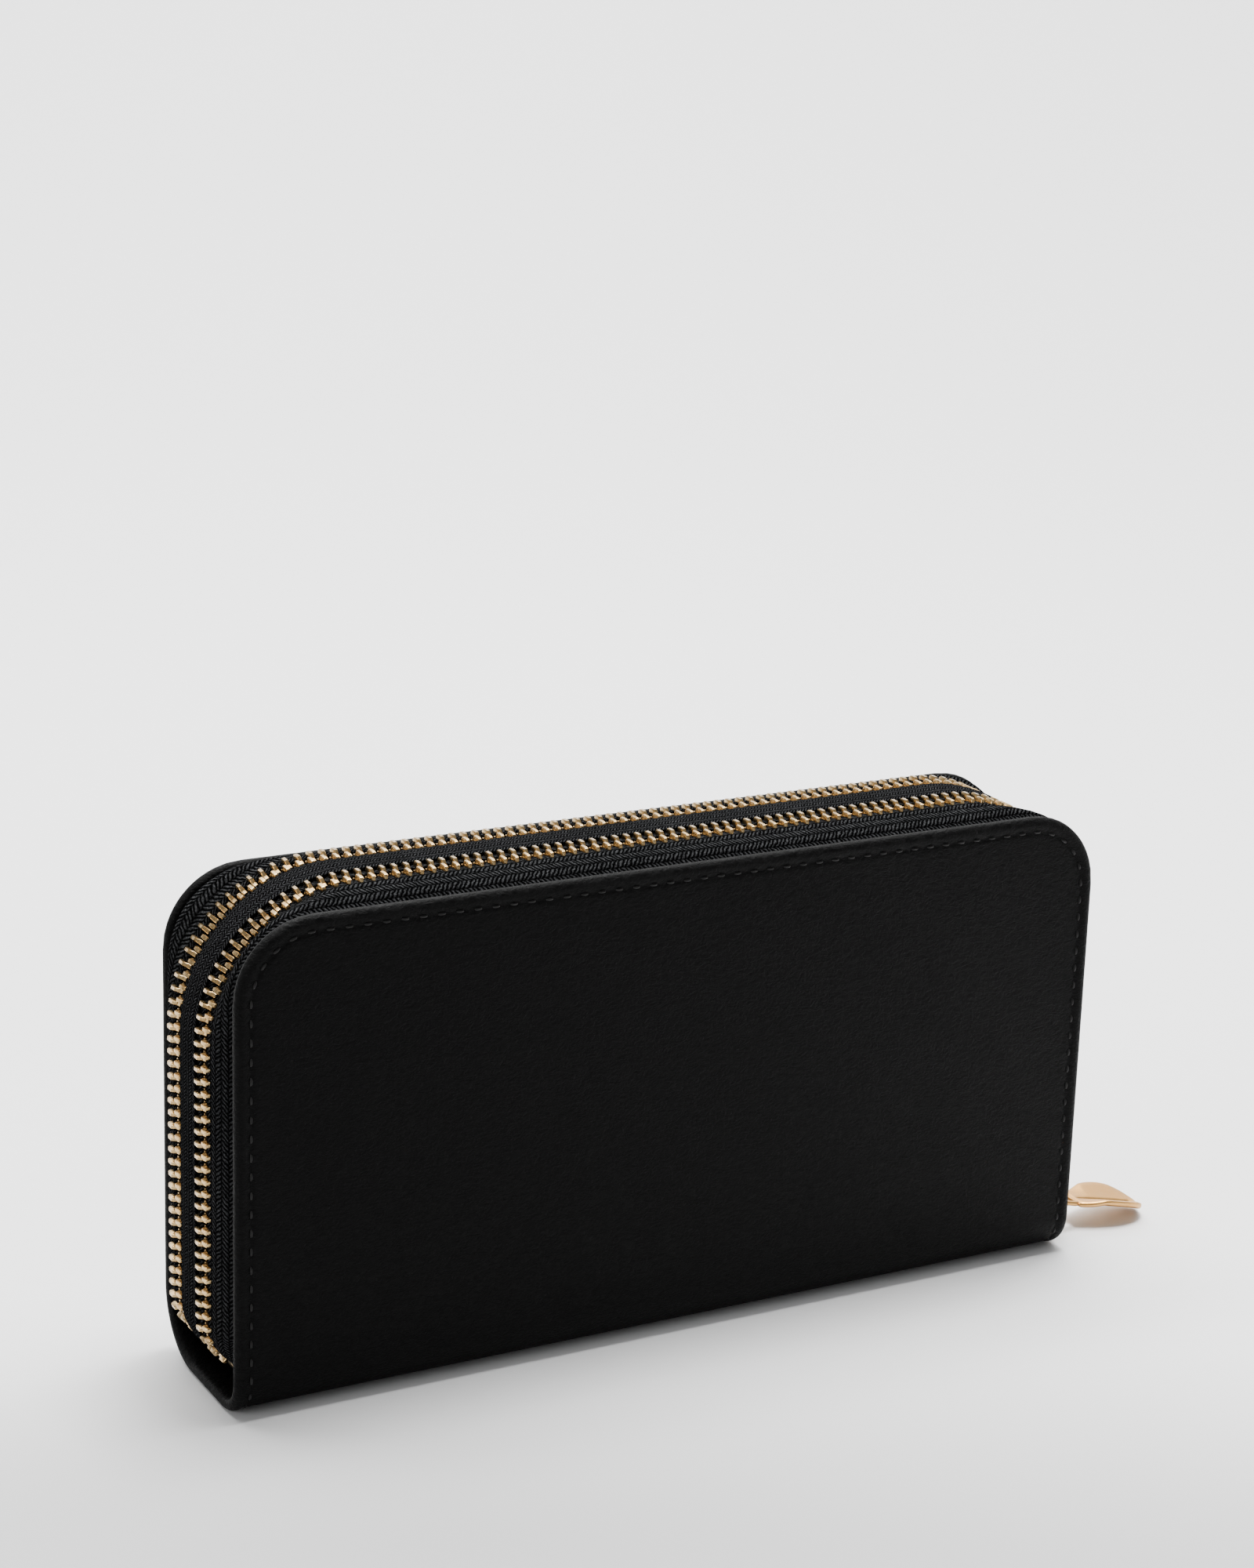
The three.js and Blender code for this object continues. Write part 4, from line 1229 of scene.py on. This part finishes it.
def leaf(name):
    """The drop-shaped plate of a pull, with two raised wings and a groove between them."""
    outline = leaf_outline()
    tip = [LEAF_END - LEAF_ROUND * math.cos(a) ** 1.5 for a in np.linspace(0.2, 1.5, 16)]
    lengths = list(np.linspace(LEAF_START, LEAF_END - LEAF_ROUND, 26)) + tip
    lengths = sorted(set(round(v, 4) for v in lengths if v < LEAF_END - 0.05)) + [LEAF_END - 0.02]
    across = [-1, -0.97, -0.88, -0.74, -0.56, -0.4, -0.26, -0.14, -0.07, -0.035, 0]
    across = np.array(across + [-q for q in across[-2::-1]])
    top = np.zeros((len(lengths), len(across), 3))
    under = np.zeros(top.shape)
    for i, run in enumerate(lengths):
        half_width = float(np.interp(run, outline[:, 1], outline[:, 0]))
        thick = 0.62 + 0.10 * share(run, LEAF_START, 9)
        fade = share(run, 6.2, 0.6) * share(-run, -22.2, 0.8)
        rise = 0.34 * share(run, 5.4, 5) * (1 - 0.3 * share(run, LEAF_END - LEAF_ROUND, LEAF_ROUND))
        for k, q in enumerate(across):
            w = half_width * q
            edge = min(half_width * (1 - abs(q)), run - LEAF_START + 0.2, LEAF_END - run)
            roll = math.sqrt(max(0.0, 1 - max(0.0, 1 - edge / 0.7) ** 2))
            up, down = thick * roll - fade * hump(w, 0.46, 0.30), thick * roll
            if i in (0, len(lengths) - 1) or k in (0, len(across) - 1):
                up = down = 0
            wing = rise * (math.hypot(w, 0.5) - 0.5)
            top[i, k] = (wing + up, w, -run)
            under[i, k] = (wing - down, w, -run)
    return shell(name, top, under, angle=60)


def eye(name):
    """The squared ring by which a pull hangs in the bridge."""
    bpy.ops.object.select_all(action="DESELECT")
    bpy.ops.mesh.primitive_torus_add(
        major_segments=48, minor_segments=10, major_radius=1.0, minor_radius=EYE_RING)
    piece = named(name)
    loop = bent_line(EYE_LOOP, 0.9, 6)
    total = line_length(loop)
    for v in piece.data.vertices:
        turn = math.atan2(v.co.y, v.co.x) % (2 * math.pi)
        s = turn / (2 * math.pi) * total
        w, z = along(loop, s)
        (wa, za), (wb, zb) = along(loop, (s + 0.1) % total), along(loop, (s - 0.1) % total)
        tw, tz = wa - wb, za - zb
        size = math.hypot(tw, tz) or 1.0
        radial = (math.hypot(v.co.x, v.co.y) - 1.0) / EYE_RING
        high = v.co.z / EYE_RING
        squarer = 1 / max(abs(radial), abs(high), 0.2) ** 0.4
        shift = radial * squarer * EYE_HALF[0]
        x = high * squarer * EYE_HALF[1]
        v.co = Vector((x, w - tz / size * shift, z + tw / size * shift)) * MM
    close_up(piece)
    smooth(piece, 60)
    return piece


class WALLET_OT_sliders(bpy.types.Operator):
    """Build the three sliders with their bridges"""
    bl_idname = "wallet.sliders"
    bl_label = "Sliders"

    def execute(self, context):
        body_unit = slider_body("slider_unit")
        bridge_unit = strip("bridge_unit", BRIDGE_LINE, (0, 1, 0), 2.4, 0.95, step=0.8, radius=1.0)
        for name in ("near", "far", "coin"):
            matrix, _ = slider_place(name)
            for unit, word in ((body_unit, "slider_body"), (bridge_unit, "slider_bridge")):
                piece = copies(f"{name}_{word}_shaped", unit, [matrix])
                dress(piece, "gold_plate", name + "_slider", replaces=(f"{name}_{word}",))
        drop(body_unit)
        drop(bridge_unit)
        return {"FINISHED"}


class WALLET_OT_pulls(bpy.types.Operator):
    """Hang a drop-shaped pull on each slider's bridge"""
    bl_idname = "wallet.pulls"
    bl_label = "Pulls"

    def execute(self, context):
        unit = join("pull_unit", leaf("pull_unit"), eye("pull_unit_eye"))
        pivot = Matrix.Translation(Vector((PIVOT_OUT, 0, -PIVOT_DOWN)) * MM)
        for name in ("near", "far", "coin"):
            matrix, lift = slider_place(name)
            turned = matrix @ pivot @ Matrix.Rotation(-lift, 4, "Y")
            piece = copies(name + "_drop_pull", unit, [turned])
            dress(piece, "pull_plate", name + "_pull", replaces=(name + "_pull",))
        drop(unit)
        return {"FINISHED"}


# Divider, coin pocket and gussets

DIVIDER_CLOTH_INSET = 8.8
DIVIDER_CLOTH_Y = 1.0
SLIP_POCKET_Y = (-1.5, -2.3)
COIN_POCKET_TOP = 88
COIN_GAP = 4  # from the coin zip's middle to the panels beside it
COIN_TAPE = 8.2
COIN_TAPE_OUT = 0.8
GUSSET_OUTER = 11.0
GUSSET_INNER = 2.9
GUSSET_FOLDS = 4
GUSSET_X = (91, 72)
GUSSET_FOOT = 20
GUSSET_HEIGHT = 60
GUSSET_CLOTH = 0.35


def divider_outline_grid():
    """Rows of X and Z that fill the divider's rounded outline at a distance inside the chain."""
    inset = DIVIDER_CLOTH_INSET
    foot = LINING_IN + LINING + GAP
    half = CHAIN_X - inset
    top = COVER_TOP + CHAIN_TOP - inset
    radius = CHAIN_R - inset
    low_half = CHAIN_X - CURL - 4
    notch = CURL_Z - CURL + inset
    heights = [foot, foot + 0.1] + list(np.linspace(foot + 1, notch - 0.02, 5)) + [notch + 0.02]
    heights += list(np.linspace(notch + 1, notch + 5, 4))
    heights += list(np.linspace(notch + 5, top - radius, 16)[1:])
    heights += [top - radius + radius * math.sin(a) for a in np.linspace(0, math.pi / 2, 16)[1:]]
    across = np.concatenate([[-1, -0.997], np.linspace(-0.98, 0.98, 41), [0.997, 1]])
    points = np.zeros((len(heights), len(across), 2))
    for i, z in enumerate(heights):
        if z < notch:
            width = min(low_half, half - 5)
        elif z < notch + 5:
            width = half - 5 + (z - notch)
        elif z < top - radius:
            width = half
        else:
            width = half - radius + math.sqrt(max(radius**2 - (z - top + radius) ** 2, 0))
        points[i, :, 0] = across * max(width, half - radius)
        points[i, :, 1] = z
    return points


class WALLET_OT_divider(bpy.types.Operator):
    """Line both faces of the divider and sew on its slip pocket"""
    bl_idname = "wallet.divider"
    bl_label = "Divider"

    def execute(self, context):
        grid = divider_outline_grid()
        for side, node in ((-1, "divider_front_lining"), (1, "divider_back_lining")):
            y = np.full(grid.shape[:2], side * DIVIDER_CLOTH_Y)
            middle = np.stack([grid[..., 0], y, grid[..., 1]], axis=-1)
            piece = sheet(node + "_cloth", middle, LINING, grid * MM)
            dress(piece, "woven_lining", "spine", replaces=(node,))
        unit = stitch_unit(*POCKET_STITCH)
        x, z = (-CARD_HALF, CARD_HALF), (POCKET_FOOT, SLOT_TOP - 2 * CARD_STEP)
        panel = leather_panel("slip_pocket_panel", x, SLIP_POCKET_Y, z)
        dress(panel, "pocket_leather", "spine", replaces=("divider_slip_pocket",))
        face = SLIP_POCKET_Y[1] + POCKET_STITCH_SUNK
        seam = panel_stitches("slip_pocket_stitches", unit, x, face, z, 1)
        dress(seam, "black_thread", "spine")
        drop(unit)
        return {"FINISHED"}


class WALLET_OT_coin_pocket(bpy.types.Operator):
    """Build the zipped coin pocket on the back of the divider"""
    bl_idname = "wallet.coin_pocket"
    bl_label = "Coin Pocket"

    def execute(self, context):
        stitch = stitch_unit(*POCKET_STITCH)
        face = COIN_ZIP_Y + TAPE / 2 + GAP
        x = (-COIN_HALF, COIN_HALF)
        lower, upper = (POCKET_FOOT, COIN_ZIP_Z - COIN_GAP), (COIN_ZIP_Z + COIN_GAP, COIN_POCKET_TOP)
        for word, z, seam_z in (("lower", lower, lower[1] - 1.4), ("upper", upper, upper[0] + 1.4)):
            node = f"coin_pocket_{word}_panel"
            panel = leather_panel(node + "_shaped", x, (face, face + CARD_SLOT), z, hem=False)
            dress(panel, "pocket_leather", "spine", replaces=(node,))
            seam_y = face + CARD_SLOT - POCKET_STITCH_SUNK
            places = [
                frame_matrix((px, seam_y, seam_z), (1, 0, 0), (0, 0, -1), (0, 1, 0))
                for px in np.arange(-COIN_HALF + 3, COIN_HALF - 2, POCKET_STITCH_PITCH)
            ]
            seam = copies(f"coin_pocket_{word}_stitches", stitch, places)
            dress(seam, "black_thread", "spine")
        tooth = tooth_unit(COIN_SCALE)
        pitch = context.scene.wallet_sizes.tooth_pitch / MM * COIN_SCALE
        for word, up in (("lower", -1), ("upper", 1)):
            first = -COIN_HALF + 4.8 + (pitch / 2 if up > 0 else 0)
            places = [
                frame_matrix((px, COIN_ZIP_Y, COIN_ZIP_Z), (-up, 0, 0), (0, 0, up), (0, 1, 0))
                for px in np.arange(first, COIN_HALF - 4.5, pitch)
            ]
            row = copies(f"coin_{word}_teeth", tooth, places)
            dress(row, "gold_plate", "spine", replaces=(f"coin_zip_{word}_teeth",))
            width = edge_spaced(COIN_TAPE, 0.8)
            length = edge_spaced(2 * COIN_HALF, 4.0)
            middle = np.zeros((len(length), len(width), 3))
            middle[..., 0] = (length - COIN_HALF)[:, None]
            middle[..., 1] = COIN_ZIP_Y
            middle[..., 2] = COIN_ZIP_Z + up * (COIN_TAPE_OUT + width)[None, :]
            tape = sheet(f"coin_{word}_tape", middle, TAPE)
            dress(tape, "woven_tape", "spine", replaces=(f"coin_zip_{word}_tape",))
        drop(tooth)
        drop(stitch)
        return {"FINISHED"}


class WALLET_OT_gussets(bpy.types.Operator):
    """Fold the four accordion gussets between covers and divider"""
    bl_idname = "wallet.gussets"
    bl_label = "Gussets"

    def execute(self, context):
        rise = (GUSSET_OUTER - GUSSET_INNER) / GUSSET_FOLDS
        for side in (-1, 1):
            for end, word in ((-1, "left"), (1, "right")):
                corners = [
                    (end * GUSSET_X[i % 2], side * (GUSSET_OUTER - i * rise))
                    for i in range(GUSSET_FOLDS + 1)
                ]
                line = bent_line(corners, 0.9, 5)
                total = line_length(line)
                line = along(line, edge_spaced(total, 1.6))
                heights = edge_spaced(GUSSET_HEIGHT, 5.0) + GUSSET_FOOT
                middle = np.zeros((len(heights), len(line), 3))
                middle[..., 0] = line[None, :, 0]
                middle[..., 1] = line[None, :, 1]
                middle[..., 2] = heights[:, None]
                node = f"{COVER_WORD[side]}_{word}_gusset"
                piece = sheet(node + "_cloth", middle, GUSSET_CLOTH, angle=70)
                half_way = GUSSET_FOOT + GUSSET_HEIGHT / 2
                low, high = ((0, side * y, half_way) for y in (GUSSET_INNER, GUSSET_OUTER))
                dress(piece, "woven_lining",
                      across=("spine", COVER_BODY[side], low, high), replaces=(node,))
        return {"FINISHED"}


# Studio

# Floor and backdrop, in millimetres
FLOOR_LINE = (-3000, -1200, -400, 200, 800)
BACKDROP_BEND = 900
BACKDROP_TOPS = (2200, 4000)
FLOOR_HALF = 4000
FLOOR_DROP = 0.15

# Name, place, target, width, height and power
LAMPS = (
    ("back_softbox", (0.1, 1.05, 1.25), (0, 0, 0), 1.2, 0.7, 9.0),
    ("top_softbox", (0.12, 0.03, 1.05), (0, 0, 0), 0.3, 0.3, 17.5),
    ("left_softbox", (-1.7, -0.4, 0.8), (0, 0, 0.05), 0.8, 1.0, 12.0),
    ("backdrop_wash", (0.2, 0.7, 2.4), (0.5, 1.7, 0.6), 3.0, 0.8, 160.0),
)
AIR_COLOUR = (0.86, 0.87, 0.88, 1)
AIR_STRENGTH = 0.42

CAMERA_SPOT = (-0.3121, -0.5520, 0.2931)
CAMERA_TARGET = (-0.00574, 0.0, 0.11247)
CAMERA_ROLL = 1.82
CAMERA_LENS = 75.38


def floor_grid():
    """Points of a floor that bends up into a backdrop."""
    bend, end = BACKDROP_BEND, FLOOR_LINE[-1]
    line = [(y, 0.0) for y in FLOOR_LINE]
    for a in np.linspace(0, math.pi / 2, 20)[1:]:
        line.append((end + bend * math.sin(a), bend - bend * math.cos(a)))
    line += [(end + bend, z) for z in BACKDROP_TOPS]
    across = np.linspace(-FLOOR_HALF, FLOOR_HALF, 9)
    return np.array([[(x, y, z - FLOOR_DROP) for x in across] for y, z in line], float)


class WALLET_OT_stage(bpy.types.Operator):
    """Set the pale floor and backdrop, the soft lights and the camera"""
    bl_idname = "wallet.stage"
    bl_label = "Studio"

    def execute(self, context):
        points = floor_grid()
        floor = drawn_grid("studio_floor", points, plain_uv(points))
        turn = Matrix.Rotation(math.radians(-VIEW_TURN), 4, "Z")
        floor.data.transform(turn)
        for polygon in floor.data.polygons:
            polygon.use_smooth = True
        floor.data.materials.append(material("studio_paper"))
        for name, spot, target, width, height, power in LAMPS:
            data = bpy.data.lights.new(name, "AREA")
            data.shape = "RECTANGLE"
            data.size, data.size_y, data.energy = width, height, power
            lamp = bpy.data.objects.new(name, data)
            context.scene.collection.objects.link(lamp)
            lamp.location = spot
            beam = Vector(target) - Vector(spot)
            lamp.rotation_euler = beam.to_track_quat("-Z", "Y").to_euler()
        world = bpy.data.worlds.new("studio_air")
        world.use_nodes = True
        air = world.node_tree.nodes["Background"]
        air.inputs["Color"].default_value = AIR_COLOUR
        air.inputs["Strength"].default_value = AIR_STRENGTH
        context.scene.world = world
        data = bpy.data.cameras.new("camera")
        data.lens, data.sensor_width, data.sensor_fit = CAMERA_LENS, 36.0, "AUTO"
        camera = bpy.data.objects.new("camera", data)
        context.scene.collection.objects.link(camera)
        spot = Vector(CAMERA_SPOT)
        ahead = (Vector(CAMERA_TARGET) - spot).normalized()
        right = ahead.cross(Vector((0, 0, 1))).normalized()
        up = right.cross(ahead)
        roll = math.radians(CAMERA_ROLL)
        tilted_right = right * math.cos(roll) + up * math.sin(roll)
        tilted_up = up * math.cos(roll) - right * math.sin(roll)
        camera.matrix_world = frame_matrix(spot / MM, tilted_right, tilted_up, -ahead)
        context.scene.camera = camera
        return {"FINISHED"}


PIECE_OPERATORS = (
    WALLET_OT_skin, WALLET_OT_stitching, WALLET_OT_linings, WALLET_OT_card_slots, WALLET_OT_zip_tapes,
    WALLET_OT_zip_teeth, WALLET_OT_zip_stops, WALLET_OT_sliders, WALLET_OT_pulls, WALLET_OT_divider,
    WALLET_OT_coin_pocket, WALLET_OT_gussets, WALLET_OT_stage,
)


class WALLET_PT_panel(bpy.types.Panel):
    """Lists the wallet's pieces, sizes and colours"""
    bl_idname = "WALLET_PT_panel"
    bl_label = "Zip Around Wallet"
    bl_space_type = "VIEW_3D"
    bl_region_type = "UI"
    bl_category = "Wallet"

    def draw(self, context):
        for group_name in ("wallet_sizes", "wallet_colours"):
            values = getattr(context.scene, group_name)
            box = self.layout.box()
            for key in values.bl_rna.properties.keys():
                if key not in ("rna_type", "name"):
                    box.prop(values, key)
        for operator in PIECE_OPERATORS:
            self.layout.operator(operator.bl_idname)


CLASSES = (WalletSizes, WalletColours) + PIECE_OPERATORS + (WALLET_PT_panel,)


def register():
    for cls in CLASSES:
        bpy.utils.register_class(cls)
    bpy.types.Scene.wallet_sizes = PointerProperty(type=WalletSizes)
    bpy.types.Scene.wallet_colours = PointerProperty(type=WalletColours)


def unregister():
    del bpy.types.Scene.wallet_colours
    del bpy.types.Scene.wallet_sizes
    for cls in reversed(CLASSES):
        bpy.utils.unregister_class(cls)


def main():
    register()
    for operator in PIECE_OPERATORS:
        family, name = operator.bl_idname.split(".")
        getattr(getattr(bpy.ops, family), name)()


if __name__ == "__main__":
    main()
